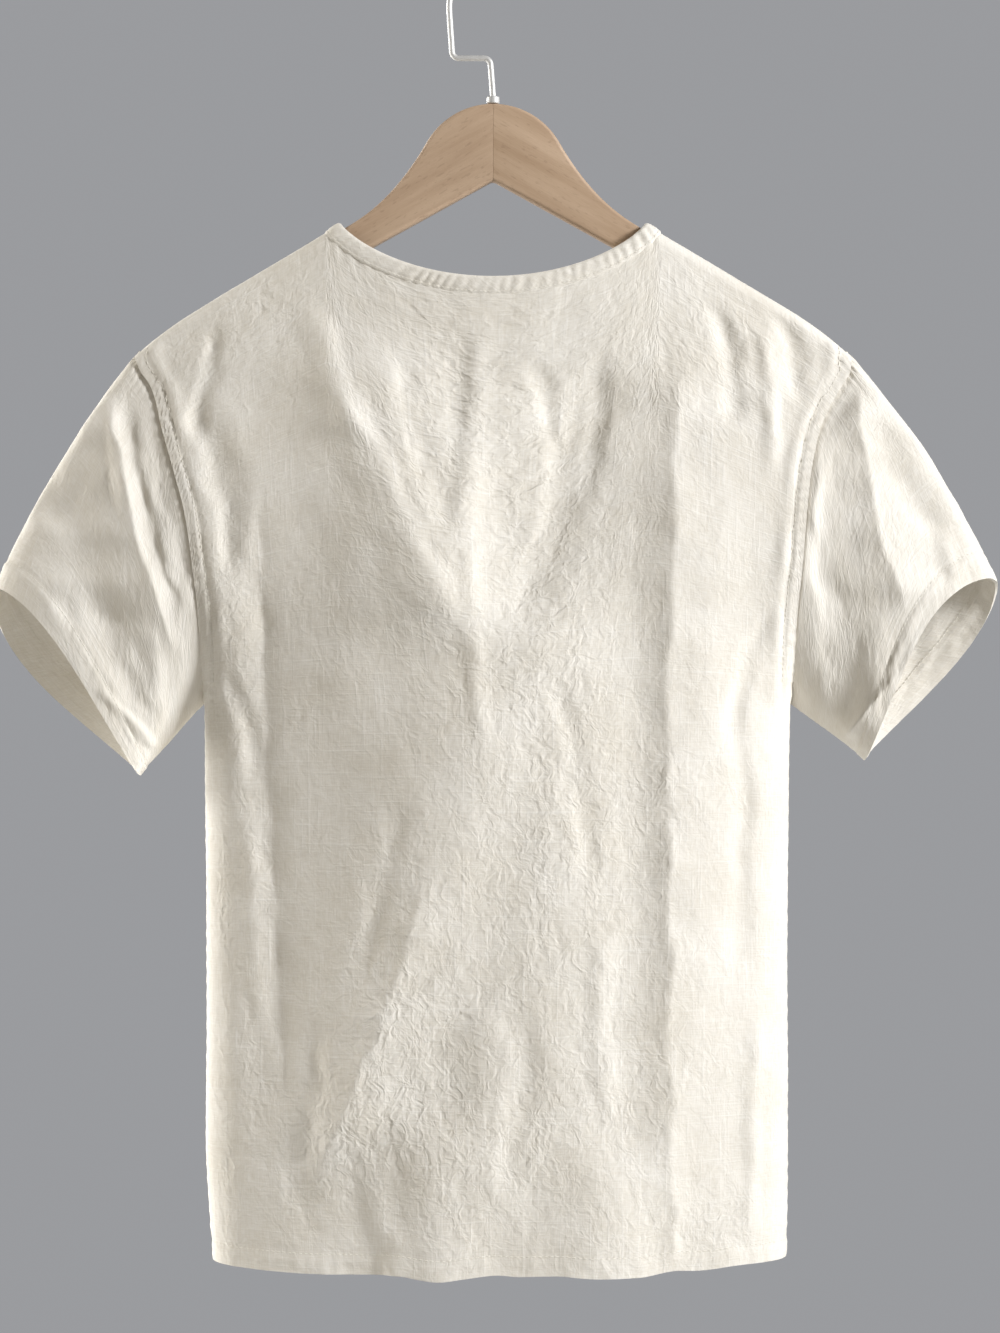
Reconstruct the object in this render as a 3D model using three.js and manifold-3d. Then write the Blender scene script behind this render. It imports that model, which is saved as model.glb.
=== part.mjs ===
// A short-sleeve linen blouse on a flat wooden hanger with a stepped wire hook.
//
// The blouse is cut as a back, a front, two sleeves and a bias band round the neck. It hangs
// with its back towards -Y. Every cloth piece is a thin wall worked out from the garment's
// sections: the body is a rounded oval below the underarm, and above it the cloth runs up to
// the hanger's arms and over them. All sizes are in millimetres, +Z is up, +X is the wearer's
// right, and the origin is the point inside the hook's bend where a rail carries it.
import * as THREE from "three";
import { mergeVertices } from "three/addons/utils/BufferGeometryUtils.js";
import Module from "manifold-3d";

const wasm = await Module();
wasm.setup();

// Cloth and seams
const CLOTH = 1.5; // wall thickness of one layer
const HEM_LAYER = 1.1; // what a turned hem adds on the inside
const SEAM_GAP = 0.3; // between two pieces where they are sewn together
const ARMHOLE_GAP = 0.4; // a little more where a sleeve's wall turns at the seam
const BAND_PROUD = 0.4; // how far the neck band stands above the panels

// Body heights
const HEM_Z = -881;
const HEM_WIDTH = 15;
const UNDERARM_Z = -502;

// Shoulders and neck
const SHOULDER_TIP_X = 243;
const RIDGE_RADIUS = 10; // the cloth's bend over the hanger's arm
const NECK_HALF_WIDTH = 104;
const NECK_POINT_Z = -173.5;
const SHOULDER_SLOPE = 0.6;
const BAND_WIDTH = 11.4;
const BAND_LEVEL = BAND_WIDTH / Math.hypot(1, SHOULDER_SLOPE); // its level width at a shoulder
const BACK_NECK_DROP = 38.8;
const FRONT_NECK_DROP = 96;

// Hanger
const WOOD_THICKNESS = 11;
const WOOD_EDGE_ROUND = 2;
const WOOD_TOP_Z = -92.3;
const WOOD_NOTCH_Z = -144.8;
const WOOD_HALF_LENGTH = 222;
const WIRE_RADIUS = 2;
const HOOK_RADIUS = 29.8; // to the middle of the wire

// How many cells each piece has
const BODY_COLUMNS = 40;
const NECK_COLUMNS = 20; // those of the body's columns that end at the neck band
const LOWER_ROWS = 11;
const UPPER_ROWS = 14;
const SLEEVE_AROUND = 2 * UPPER_ROWS;
const SLEEVE_ALONG = 8;

// The line that the shoulder seam follows, from the middle out to the shoulder tip. It is
// also carried on inwards over the neck, where no cloth lies, to give the slope there.
const RIDGE = [
  { x: 0, z: NECK_POINT_Z + SHOULDER_SLOPE * NECK_HALF_WIDTH },
  { x: NECK_HALF_WIDTH, z: NECK_POINT_Z },
  { x: 191.5, z: NECK_POINT_Z - SHOULDER_SLOPE * 87.5 },
  { x: 214, z: -240 },
  { x: 232, z: -253.3 },
  { x: SHOULDER_TIP_X, z: -263.5 },
];

// Below the underarm: how far the oval reaches to each side, to the back and to the front.
const BODY_SECTIONS = [
  { z: HEM_Z, left: 191, right: 200, back: 51, front: 58 },
  { z: -850, left: 193.5, right: 201, back: 50.5, front: 58 },
  { z: -800, left: 196, right: 201.5, back: 50, front: 57 },
  { z: -680, left: 195.5, right: 201, back: 50, front: 56 },
  { z: -560, left: 196.5, right: 202, back: 50, front: 55 },
  { z: UNDERARM_Z, left: 197, right: 203, back: 50, front: 54 },
];

// Above the underarm: where the armhole edge lies on each side, how far it stands from the
// middle plane, and the depth at the middle of each face.
const ARMHOLE_SECTIONS = [
  { z: UNDERARM_Z, left: 197, right: 203, edgeY: 0, back: 50, front: 54 },
  { z: -483, left: 196.5, right: 203, edgeY: 13, back: 50, front: 53 },
  { z: -457, left: 197, right: 203.5, edgeY: 24, back: 49, front: 52 },
  { z: -434, left: 198.5, right: 205, edgeY: 30, back: 48, front: 50 },
  { z: -405, left: 202, right: 208, edgeY: 34, back: 46, front: 48 },
  { z: -375, left: 206.5, right: 210.5, edgeY: 34, back: 44, front: 46 },
  { z: -345, left: 214.5, right: 214, edgeY: 31, back: 41, front: 43 },
  { z: -315, left: 223.5, right: 221, edgeY: 25, back: 37, front: 39 },
  { z: -297, left: 228, right: 229.5, edgeY: 19, back: 34, front: 36 },
  { z: -285, left: 232.5, right: 237, edgeY: 14.5, back: 32, front: 34 },
  { z: -275, left: 239.5, right: 242.5, edgeY: 11.5, back: 31, front: 33 },
  { z: -263.5, left: SHOULDER_TIP_X, right: SHOULDER_TIP_X, edgeY: 10, back: 30, front: 32 },
  { z: -170, left: SHOULDER_TIP_X, right: SHOULDER_TIP_X, edgeY: 10, back: 26, front: 28 },
];
const OVAL_POWER = 2.6; // 2 is an ellipse, and more is squarer
const RIDGE_EASE = 62; // how fast the cloth leaves the hanger's slope for the full depth

// Long soft folds. Each runs from its top to its foot, bowed sideways by bow, and stands
// out by height (below 0 it is a trough) over the widths to its left and right.
const BACK_FOLDS = [
  { topX: -92, topZ: -236, footX: -18, footZ: -480, bow: -3, height: 10, left: 95, right: 62 },
  { topX: -18, topZ: -440, footX: -132, footZ: -860, bow: 22, height: 7, left: 90, right: 66 },
  { topX: 62, topZ: -262, footX: 2, footZ: -470, bow: 5, height: -6, left: 66, right: 95 },
  { topX: 14, topZ: -330, footX: 46, footZ: -1000, bow: 0, height: 9, left: 150, right: 95 },
  { topX: 141, topZ: -270, footX: 118, footZ: -895, bow: 2, height: 4, left: 45, right: 40 },
  { topX: -152, topZ: -330, footX: -138, footZ: -880, bow: -6, height: -5, left: 45, right: 70 },
  { topX: -40, topZ: -760, footX: -37, footZ: -960, bow: 0, height: 7, left: 46, right: 52 },
  { topX: 80, topZ: -780, footX: 84, footZ: -960, bow: 0, height: 5, left: 50, right: 44 },
];
const FRONT_FOLDS = [
  { topX: -96, topZ: -250, footX: -52, footZ: -905, bow: 10, height: -8, left: 46, right: 44 },
  { topX: 92, topZ: -256, footX: 64, footZ: -905, bow: -8, height: -7.5, left: 44, right: 48 },
  { topX: 0, topZ: -330, footX: 6, footZ: -960, bow: 5, height: 5, left: 50, right: 50 },
  { topX: -138, topZ: -340, footX: -120, footZ: -960, bow: -4, height: 4.5, left: 40, right: 36 },
  { topX: 140, topZ: -350, footX: 128, footZ: -960, bow: 5, height: 4, left: 36, right: 38 },
];
const FOLD_FADE = 0.22; // share of a fold's length over which each end dies away

// Cuff corners in front view, how far the near edge is drawn in and the far edge pushed out,
// and how far they stand from the middle plane.
const SLEEVES = [
  {
    name: "left_sleeve", side: -1, topX: 340.5, topZ: -424, footX: 241, footZ: -551,
    nearIn: 13.5, farOut: 20, nearY: 31, farY: 31,
  },
  {
    name: "right_sleeve", side: 1, topX: 344.5, topZ: -419, footX: 254, footZ: -540.5,
    nearIn: 24, farOut: 14.5, nearY: 31, farY: 31,
  },
];
const SLEEVE_CROWN = { x: 6, z: 3.5 }; // how far the sleeve's top rounds out past a straight line
const CROWN_FLAT = 0.7; // under 1 keeps that nearly even along the sleeve
const CROWN_SHARP = 6; // and over 1 keeps it to the top of the sleeve
const SLEEVE_HEM = 20;
const CUFF_SWELL = 0.6; // under 1 brings the cuff's widest place nearer its top
const CUFF_ROUND = 0.9; // under 1 makes the cuff's oval a little squarer

// Folds across a sleeve, in shares: around is 0 at the top and 0.25 in the middle of the
// back, and along is 0 at the armhole and 1 at the cuff.
const SLEEVE_FOLDS = [
  { around0: 0.06, along0: 0.02, around1: 0.3, along1: 0.8, height: -8, width: 0.1 },
  { around0: 0.15, along0: 0.0, around1: 0.4, along1: 0.85, height: 4, width: 0.08 },
  { around0: 0.9, along0: 0.02, around1: 0.72, along1: 0.9, height: -8, width: 0.1 },
];

const { clamp, degToRad, lerp, smoothstep } = THREE.MathUtils;

// The value of one column of a table at a height or width, smooth through the rows.
function tableValue(rows, key, column, at) {
  const up = rows[1][key] > rows[0][key] ? 1 : -1;
  const last = rows.length - 1;
  if ((at - rows[0][key]) * up <= 0) return rows[0][column];
  if ((at - rows[last][key]) * up >= 0) return rows[last][column];
  let i = 0;
  while ((at - rows[i + 1][key]) * up > 0) i += 1;
  const slope = (k) => (rows[k + 1][column] - rows[k][column]) / (rows[k + 1][key] - rows[k][key]);
  const tangent = (k) => {
    if (k === 0) return slope(0);
    if (k === last) return slope(last - 1);
    const before = slope(k - 1);
    const after = slope(k);
    return before * after <= 0 ? 0 : (2 * before * after) / (before + after);
  };
  const span = rows[i + 1][key] - rows[i][key];
  const t = (at - rows[i][key]) / span;
  const rise = rows[i + 1][column] - rows[i][column];
  const from = tangent(i) * span;
  const to = tangent(i + 1) * span;
  return rows[i][column] + t * (from + t * (3 * rise - 2 * from - to + t * (from + to - 2 * rise)));
}

// One side of the oval: how far it stands out at a share of its half width.
const ovalDepth = (share) => (1 - Math.min(1, Math.abs(share)) ** OVAL_POWER) ** (1 / OVAL_POWER);

// Where along the oval a panel's columns lie, so that they are evenly spaced along the cloth:
// column shares from -1 to 1 become shares of the half width.
const OVAL_STEPS = 400;
const ovalArc = [0];
const ovalX = (i) => Math.sin((i / OVAL_STEPS) * (Math.PI / 2)) ** (2 / OVAL_POWER);
for (let i = 1; i <= OVAL_STEPS; i += 1) {
  const { left: half, back } = BODY_SECTIONS.at(-1);
  const across = (ovalX(i) - ovalX(i - 1)) * half;
  const out = (ovalDepth(ovalX(i)) - ovalDepth(ovalX(i - 1))) * back;
  ovalArc.push(ovalArc[i - 1] + Math.hypot(across, out));
}
function columnShare(u) {
  const wanted = Math.abs(u) * ovalArc[OVAL_STEPS];
  let i = 1;
  while (i < OVAL_STEPS && ovalArc[i] < wanted) i += 1;
  const part = clamp((wanted - ovalArc[i - 1]) / (ovalArc[i] - ovalArc[i - 1]), 0, 1);
  return Math.sign(u) * lerp(ovalX(i - 1), ovalX(i), part);
}

// The height of the shoulder ridge at a distance from the middle, where it is rounded off.
const RIDGE_ROUND = 12;
const ROUND_SHIFT = Math.hypot(NECK_HALF_WIDTH, RIDGE_ROUND) - NECK_HALF_WIDTH;
const ridgeZ = (x) => tableValue(RIDGE, "x", "z", Math.hypot(x, RIDGE_ROUND) - ROUND_SHIFT);

// How far the folds in a table stand out at a place on a panel.
function foldHeight(folds, x, z) {
  return folds.reduce((sum, fold) => {
    const t = (fold.topZ - z) / (fold.topZ - fold.footZ);
    if (t <= 0 || t >= 1) return sum;
    const middle = lerp(fold.topX, fold.footX, t) + fold.bow * 4 * t * (1 - t);
    const away = (x - middle) / (x < middle ? fold.left : fold.right);
    if (Math.abs(away) >= 1) return sum;
    const fade = smoothstep(t, 0, FOLD_FADE) * (1 - smoothstep(t, 1 - FOLD_FADE, 1));
    return sum + fold.height * fade * 0.5 * (1 + Math.cos(Math.PI * away));
  }, 0);
}

// How far the cloth reaches to the left or the right at a height.
const reach = (rows, x, z) => tableValue(rows, "z", x < 0 ? "left" : "right", z);

// How far a panel stands out from the middle plane above the underarm.
function upperDepth(face, x, z) {
  const depth = tableValue(ARMHOLE_SECTIONS, "z", face.column, z);
  const edgeX = reach(ARMHOLE_SECTIONS, x, z);
  const edgeY = Math.min(tableValue(ARMHOLE_SECTIONS, "z", "edgeY", z), depth);
  const fullX = edgeX / ovalDepth(edgeY / depth);
  const drop = Math.max(0, ridgeZ(x) - z);
  const overArm = RIDGE_RADIUS * Math.sqrt(1 - (1 - Math.min(1, drop / RIDGE_RADIUS)) ** 2);
  const body = depth * ovalDepth(x / fullX);
  const eased = 1 - Math.exp(-drop / RIDGE_EASE);
  if (body > RIDGE_RADIUS) return overArm + (body - RIDGE_RADIUS) * eased;
  return Math.min(overArm, body);
}

// Folds die away at the side seams, the armholes and the shoulder ridge.
function foldsAt(face, x, z, edgeX) {
  const side = 1 - smoothstep(Math.abs(x), edgeX - 42, edgeX - 6);
  const top = smoothstep(ridgeZ(x) - z, 8, 60);
  return foldHeight(face.folds, x, z) * side * top;
}

// The neck edge of a face at an angle: 0 in the middle of the face, 90 degrees at a shoulder.
// out is the distance from the band's top edge.
function neckEdge(face, angle, out) {
  const share = out / BAND_WIDTH;
  const half = NECK_HALF_WIDTH + BAND_LEVEL * share;
  const top = NECK_POINT_Z - BAND_LEVEL * share * SHOULDER_SLOPE;
  const drop = face.neckDrop + (BAND_WIDTH - BAND_LEVEL * SHOULDER_SLOPE) * share;
  return {
    x: half * Math.sin(angle),
    z: top - drop * Math.abs(Math.cos(angle)) ** face.neckPower,
  };
}

const BACK = {
  sign: -1, column: "back", folds: BACK_FOLDS, neckDrop: BACK_NECK_DROP, neckPower: 1.5,
};
const FRONT = {
  sign: 1, column: "front", folds: FRONT_FOLDS, neckDrop: FRONT_NECK_DROP, neckPower: 1.15,
};

// A point on a face's outer surface above the underarm, at x and z.
function upperPoint(face, x, z, gap) {
  const out = upperDepth(face, x, z) + foldsAt(face, x, z, reach(ARMHOLE_SECTIONS, x, z)) + gap;
  return new THREE.Vector3(x, face.sign * out, z);
}

// Which way a face looks above the underarm.
function faceNormal(face, point) {
  const step = 0.5;
  const depthAt = (x, z) => face.sign * upperPoint(face, x, z, 0).y;
  const slopeX = (depthAt(point.x + step, point.z) - depthAt(point.x - step, point.z)) / (2 * step);
  const slopeZ = (depthAt(point.x, point.z + step) - depthAt(point.x, point.z - step)) / (2 * step);
  const onRidge = Math.abs(point.y) <= SEAM_GAP;
  return new THREE.Vector3(-slopeX, onRidge ? 0 : face.sign, -slopeZ).normalize();
}

// A point on a face's outer surface below the underarm.
function lowerPoint(face, u, z) {
  const half = reach(BODY_SECTIONS, u, z);
  const depth = tableValue(BODY_SECTIONS, "z", face.column, z);
  const share = columnShare(u);
  const x = half * share;
  const out = depth * ovalDepth(share) + foldsAt(face, x, z, half) + SEAM_GAP / 2;
  return new THREE.Vector3(x, face.sign * out, z);
}

// Rows above the underarm stand closer towards the shoulder: the share of the way down at a
// share of the rows. The sleeves have their points at the same heights along the seam.
const ROW_CROWDING = 1.8;
const rowDrop = (share) => share ** ROW_CROWDING;

// The top of a panel's column: on the neck edge in the middle, on the shoulder ridge outside.
const NECK_SHARE = NECK_COLUMNS / BODY_COLUMNS;
const NECK_CROWDING = 1.3; // columns stand closer towards the shoulder
function neckAngle(share) {
  return Math.sign(share) * (1 - (1 - Math.abs(share)) ** NECK_CROWDING) * (Math.PI / 2);
}
function columnTop(face, u) {
  if (Math.abs(u) < NECK_SHARE - 1e-6) {
    return neckEdge(face, neckAngle(u / NECK_SHARE), BAND_WIDTH + SEAM_GAP);
  }
  const neck = neckEdge(face, Math.PI / 2, BAND_WIDTH + SEAM_GAP);
  const x = lerp(neck.x, SHOULDER_TIP_X, (Math.abs(u) - NECK_SHARE) / (1 - NECK_SHARE));
  return { x: Math.sign(u) * x, z: ridgeZ(x) };
}

// Vertex normals of a grid of points, by the faces round each of them.
function gridNormals(grid, closed) {
  const rows = grid.length;
  const columns = grid[0].length;
  return grid.map((row, r) =>
    row.map((_, c) => {
      const left = closed ? (c + columns - 1) % columns : Math.max(0, c - 1);
      const right = closed ? (c + 1) % columns : Math.min(columns - 1, c + 1);
      const across = grid[r][right].clone().sub(grid[r][left]);
      const along = grid[Math.min(rows - 1, r + 1)][c].clone().sub(grid[Math.max(0, r - 1)][c]);
      return across.cross(along).normalize();
    }),
  );
}

// A closed wall between two grids of points, outside and inside. Across the rows and then up
// them has to turn outwards, and closed joins the last column to the first.
function wallGeometry(outer, inner, closed = false) {
  const rows = outer.length;
  const columns = outer[0].length;
  const positions = [...outer.flat(), ...inner.flat()].flatMap((p) => [p.x, p.y, p.z]);
  const skin = rows * columns;
  const at = (r, c) => r * columns + (c % columns);
  const index = [];
  const quad = (a, b, c, d) => index.push(a, b, c, a, c, d);
  const lastColumn = closed ? columns : columns - 1;
  for (let r = 0; r < rows - 1; r += 1) {
    for (let c = 0; c < lastColumn; c += 1) {
      quad(at(r, c), at(r, c + 1), at(r + 1, c + 1), at(r + 1, c));
      quad(at(r, c) + skin, at(r + 1, c) + skin, at(r + 1, c + 1) + skin, at(r, c + 1) + skin);
    }
  }
  for (let c = 0; c < lastColumn; c += 1) {
    const top = rows - 1;
    quad(at(0, c + 1), at(0, c), at(0, c) + skin, at(0, c + 1) + skin);
    quad(at(top, c), at(top, c + 1), at(top, c + 1) + skin, at(top, c) + skin);
  }
  for (let r = 0; r < rows - 1 && !closed; r += 1) {
    const end = columns - 1;
    quad(at(r, 0), at(r + 1, 0), at(r + 1, 0) + skin, at(r, 0) + skin);
    quad(at(r + 1, end), at(r, end), at(r, end) + skin, at(r + 1, end) + skin);
  }
  return new THREE.BufferGeometry()
    .setAttribute("position", new THREE.Float32BufferAttribute(positions, 3))
    .setIndex(index);
}

// A grid moved along its normals, by a distance for each row.
function offsetGrid(grid, normals, distance) {
  return grid.map((row, r) =>
    row.map((point, c) => point.clone().addScaledVector(normals[r][c], distance(r))),
  );
}

// How much of the armhole's shape a column takes: all at the edge and soon none inside it.
const EDGE_POWER = 5;
const HEM_STEP = 0.5; // half the height over which the hem's extra layer ends

// Back or front: rows run up from the hem, and columns run so that the outside is outside.
function panelGeometry(face) {
  const columns = Array.from({ length: BODY_COLUMNS + 1 }, (_, c) => {
    const u = (2 * c) / BODY_COLUMNS - 1;
    return face.sign < 0 ? u : -u;
  });
  const hemTop = HEM_Z + HEM_WIDTH + HEM_STEP;
  const lowerZ = [HEM_Z, hemTop - 2 * HEM_STEP, hemTop];
  for (let r = 1; r <= LOWER_ROWS; r += 1) {
    lowerZ.push(lerp(hemTop, UNDERARM_Z, r / LOWER_ROWS));
  }
  const rows = lowerZ.map((z) => columns.map((u) => lowerPoint(face, u, z)));
  for (let r = 1; r <= UPPER_ROWS; r += 1) {
    const below = rowDrop(1 - r / UPPER_ROWS);
    rows.push(
      columns.map((u) => {
        const top = columnTop(face, u);
        const z = lerp(top.z, UNDERARM_Z, below);
        const foot = reach(BODY_SECTIONS, u, UNDERARM_Z);
        const straight = lerp(top.x, foot * columnShare(u), below);
        const sideZ = lerp(RIDGE.at(-1).z, UNDERARM_Z, below);
        const shift = reach(ARMHOLE_SECTIONS, u, sideZ) - lerp(SHOULDER_TIP_X, foot, below);
        const x = straight + Math.sign(u) * Math.abs(u) ** EDGE_POWER * shift;
        return upperPoint(face, x, z, SEAM_GAP / 2);
      }),
    );
  }
  const normals = gridNormals(rows, false).map((row, r) =>
    r < lowerZ.length ? row : row.map((_, c) => faceNormal(face, rows[r][c])),
  );
  const inner = offsetGrid(rows, normals, (r) => (r < 2 ? -CLOTH - HEM_LAYER : -CLOTH));
  inner.flat().forEach((point) => {
    point.y = face.sign * Math.max(face.sign * point.y, SEAM_GAP / 2);
  });
  return wallGeometry(rows, inner);
}

// The neck band, one closed ring: the middle of the back is at 0, the front at 180 degrees.
function bandGeometry() {
  const widths = [BAND_WIDTH, BAND_WIDTH * 0.5, 0];
  const places = Array.from({ length: 2 * NECK_COLUMNS }, (_, i) => {
    const share = (2 * i) / NECK_COLUMNS - 1;
    return share <= 1 ? { face: BACK, share } : { face: FRONT, share: 2 - share };
  });
  const rows = widths.map((out) =>
    places.map(({ face, share }) => {
      const { x, z } = neckEdge(face, neckAngle(share), out);
      const point = upperPoint(face, x, z, 0);
      if (Math.abs(share) === 1) point.y = 0;
      return point;
    }),
  );
  const normals = rows.map((row) => row.map((point, c) => faceNormal(places[c].face, point)));
  const outer = offsetGrid(rows, normals, () => BAND_PROUD);
  return wallGeometry(outer, offsetGrid(rows, normals, () => -CLOTH), true);
}

// A share of the way round the armhole, 0 at the shoulder tip and 0.5 at the underarm.
function armholePoint(side, around) {
  const face = around <= 0.5 ? BACK : FRONT;
  const down = around <= 0.5 ? around * 2 : 2 - around * 2;
  const z = lerp(RIDGE.at(-1).z, UNDERARM_Z, rowDrop(down));
  const x = side * reach(ARMHOLE_SECTIONS, side, z);
  const gap = down > 0 && down < 1 ? SEAM_GAP / 2 : 0;
  const y = face.sign * (upperDepth(face, x, z) + gap);
  return new THREE.Vector3(x + side * ARMHOLE_GAP, y, z);
}

// The same share of the way round the cuff's edge.
function cuffPoint(spec, around) {
  const angle = around * 2 * Math.PI;
  const down = 0.5 * (1 - Math.cos(angle));
  const across = Math.sin(angle);
  const chord = new THREE.Vector2(spec.footX - spec.topX, spec.footZ - spec.topZ);
  const outward = new THREE.Vector2(-chord.y, chord.x).normalize();
  const swell = Math.sin(Math.PI * down ** CUFF_SWELL);
  const push = across > 0 ? -spec.nearIn * swell : spec.farOut * swell;
  const reachY = across > 0 ? -spec.nearY : spec.farY;
  const y = reachY * Math.abs(across) ** CUFF_ROUND;
  return new THREE.Vector3(
    spec.side * (spec.topX + chord.x * down + outward.x * push),
    y,
    spec.topZ + chord.y * down + outward.y * push,
  );
}

// How far a sleeve's folds stand out, and they die away at the armhole and the cuff.
function sleeveFoldHeight(around, along) {
  const ends = smoothstep(along, 0, 0.12) * (1 - smoothstep(along, 0.78, 1));
  return SLEEVE_FOLDS.reduce((sum, fold) => {
    const t = clamp((along - fold.along0) / (fold.along1 - fold.along0), 0, 1);
    const away = (around - lerp(fold.around0, fold.around1, t)) / fold.width;
    const fade = 1 - smoothstep(along, fold.along1 - 0.2, fold.along1);
    return Math.abs(away) < 1
      ? sum + fold.height * ends * fade * 0.5 * (1 + Math.cos(Math.PI * away))
      : sum;
  }, 0);
}

function sleeveGeometry(spec) {
  const length = Math.hypot(spec.topX - SHOULDER_TIP_X, spec.topZ - RIDGE.at(-1).z);
  const plainEnd = 1 - (SLEEVE_HEM + HEM_STEP) / length;
  const hemStart = 1 - (SLEEVE_HEM - HEM_STEP) / length;
  const alongs = Array.from({ length: SLEEVE_ALONG }, (_, i) => (i / SLEEVE_ALONG) * plainEnd);
  alongs.push(plainEnd, hemStart, 1);
  const rings = alongs.map((along) =>
    Array.from({ length: SLEEVE_AROUND }, (_, i) => {
      const around = i / SLEEVE_AROUND;
      const point = armholePoint(spec.side, around).lerp(cuffPoint(spec, around), along);
      const round = Math.abs(Math.sin(Math.PI * along)) ** CROWN_FLAT;
      const crown = round * Math.cos(Math.PI * around) ** CROWN_SHARP;
      point.x += spec.side * SLEEVE_CROWN.x * crown;
      point.z += SLEEVE_CROWN.z * crown;
      return point;
    }),
  );
  // The rings run the other way round on the left, so that the outside is outside.
  const ordered = spec.side < 0 ? rings.map((ring) => [...ring].reverse()) : rings;
  const normals = gridNormals(ordered, true);
  const folded = ordered.map((ring, r) =>
    ring.map((point, c) => {
      const around = (spec.side < 0 ? SLEEVE_AROUND - 1 - c : c) / SLEEVE_AROUND;
      return point.clone().addScaledVector(normals[r][c], sleeveFoldHeight(around, alongs[r]));
    }),
  );
  const hemRow = alongs.length - 2;
  const wall = (r) => (r >= hemRow ? -CLOTH - HEM_LAYER : -CLOTH);
  const inner = offsetGrid(folded, normals, wall);
  inner[0].forEach((point, c) => {
    point.x = spec.side * Math.max(spec.side * point.x, spec.side * folded[0][c].x);
  });
  return wallGeometry(folded, inner, true);
}

// A closed geometry as a solid for joining and cutting, and back.
function solidOf(geometry) {
  const bare = geometry.clone().deleteAttribute("normal").deleteAttribute("uv");
  const merged = mergeVertices(bare, 1e-4);
  return new wasm.Manifold(
    new wasm.Mesh({
      numProp: 3,
      vertProperties: merged.attributes.position.array,
      triVerts: new Uint32Array(merged.index.array),
    }),
  );
}
function geometryOf(solid) {
  const mesh = solid.getMesh();
  return new THREE.BufferGeometry()
    .setAttribute("position", new THREE.BufferAttribute(mesh.vertProperties, 3))
    .setIndex(new THREE.BufferAttribute(mesh.triVerts, 1));
}

// The wood: a round head that sweeps down into two arms, cut out of flat board.
const HEAD_RADIUS = 45;
const HEAD_TURN = degToRad(28); // where the head's arc ends, above the level
const ARM_START = { x: 68, z: -157 };
const ARM_SLOPE = 0.613;
const NOTCH_SLOPE = 0.553;
const ARM_END_ROUND = 7;
const SHANK_DEPTH = 13;
const SHANK_CLEARANCE = 0.35;

function woodGeometry() {
  const headZ = WOOD_TOP_Z - HEAD_RADIUS;
  const headX = HEAD_RADIUS * Math.cos(HEAD_TURN);
  const headEndZ = headZ + HEAD_RADIUS * Math.sin(HEAD_TURN);
  const armZ = (x) => ARM_START.z - ARM_SLOPE * (x - ARM_START.x);
  const underZ = (x) => WOOD_NOTCH_Z - NOTCH_SLOPE * x;
  const end = WOOD_HALF_LENGTH;
  const nearEnd = end - ARM_END_ROUND;
  const endMiddle = (underZ(end) + armZ(end)) / 2;
  const headHandle = { x: headX + 8.5, z: headEndZ - 16 };
  const armHandle = { x: ARM_START.x - 8.5, z: ARM_START.z + 5.2 };
  const shape = new THREE.Shape();
  shape.moveTo(0, WOOD_NOTCH_Z);
  shape.lineTo(nearEnd, underZ(nearEnd));
  shape.quadraticCurveTo(end, underZ(end), end, endMiddle);
  shape.quadraticCurveTo(end, armZ(end), nearEnd, armZ(nearEnd));
  shape.lineTo(ARM_START.x, ARM_START.z);
  shape.bezierCurveTo(armHandle.x, armHandle.z, headHandle.x, headHandle.z, headX, headEndZ);
  shape.absarc(0, headZ, HEAD_RADIUS, HEAD_TURN, Math.PI - HEAD_TURN, false);
  shape.bezierCurveTo(
    -headHandle.x, headHandle.z, -armHandle.x, armHandle.z, -ARM_START.x, ARM_START.z,
  );
  shape.lineTo(-nearEnd, armZ(nearEnd));
  shape.quadraticCurveTo(-end, armZ(end), -end, endMiddle);
  shape.quadraticCurveTo(-end, underZ(end), -nearEnd, underZ(nearEnd));
  shape.closePath();
  const board = new THREE.ExtrudeGeometry(shape, {
    depth: WOOD_THICKNESS - 2 * WOOD_EDGE_ROUND,
    bevelThickness: WOOD_EDGE_ROUND,
    bevelSize: WOOD_EDGE_ROUND,
    bevelOffset: -WOOD_EDGE_ROUND,
    bevelSegments: 2,
    curveSegments: 8,
  });
  board.translate(0, 0, WOOD_EDGE_ROUND - WOOD_THICKNESS / 2).rotateX(Math.PI / 2);
  const boreRadius = WIRE_RADIUS + SHANK_CLEARANCE;
  const bore = new THREE.CylinderGeometry(boreRadius, boreRadius, 2 * SHANK_DEPTH, 16)
    .rotateX(Math.PI / 2)
    .translate(0, 0, WOOD_TOP_Z);
  return geometryOf(solidOf(board).subtract(solidOf(bore)));
}

// The hook: a shank out of the wood, a step to the side, a riser and a round bend.
const STEP_Z = -60.5;
const STEP_START_X = -2;
const RISER_FOOT_X = -27.6;
const STEP_ROUND = 5;
const HOOK_END_TURN = degToRad(18); // where the bend stops, short of level on the far side
const HOOK_STEPS = 52;

// Two straight stretches that meet at corner, with the corner rounded off.
function roundedCorner(path, from, corner, to, radius) {
  const start = corner.clone().add(from.clone().sub(corner).setLength(radius));
  const end = corner.clone().add(to.clone().sub(corner).setLength(radius));
  path.add(new THREE.LineCurve3(from, start));
  path.add(new THREE.QuadraticBezierCurve3(start, corner, end));
  return end;
}

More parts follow.
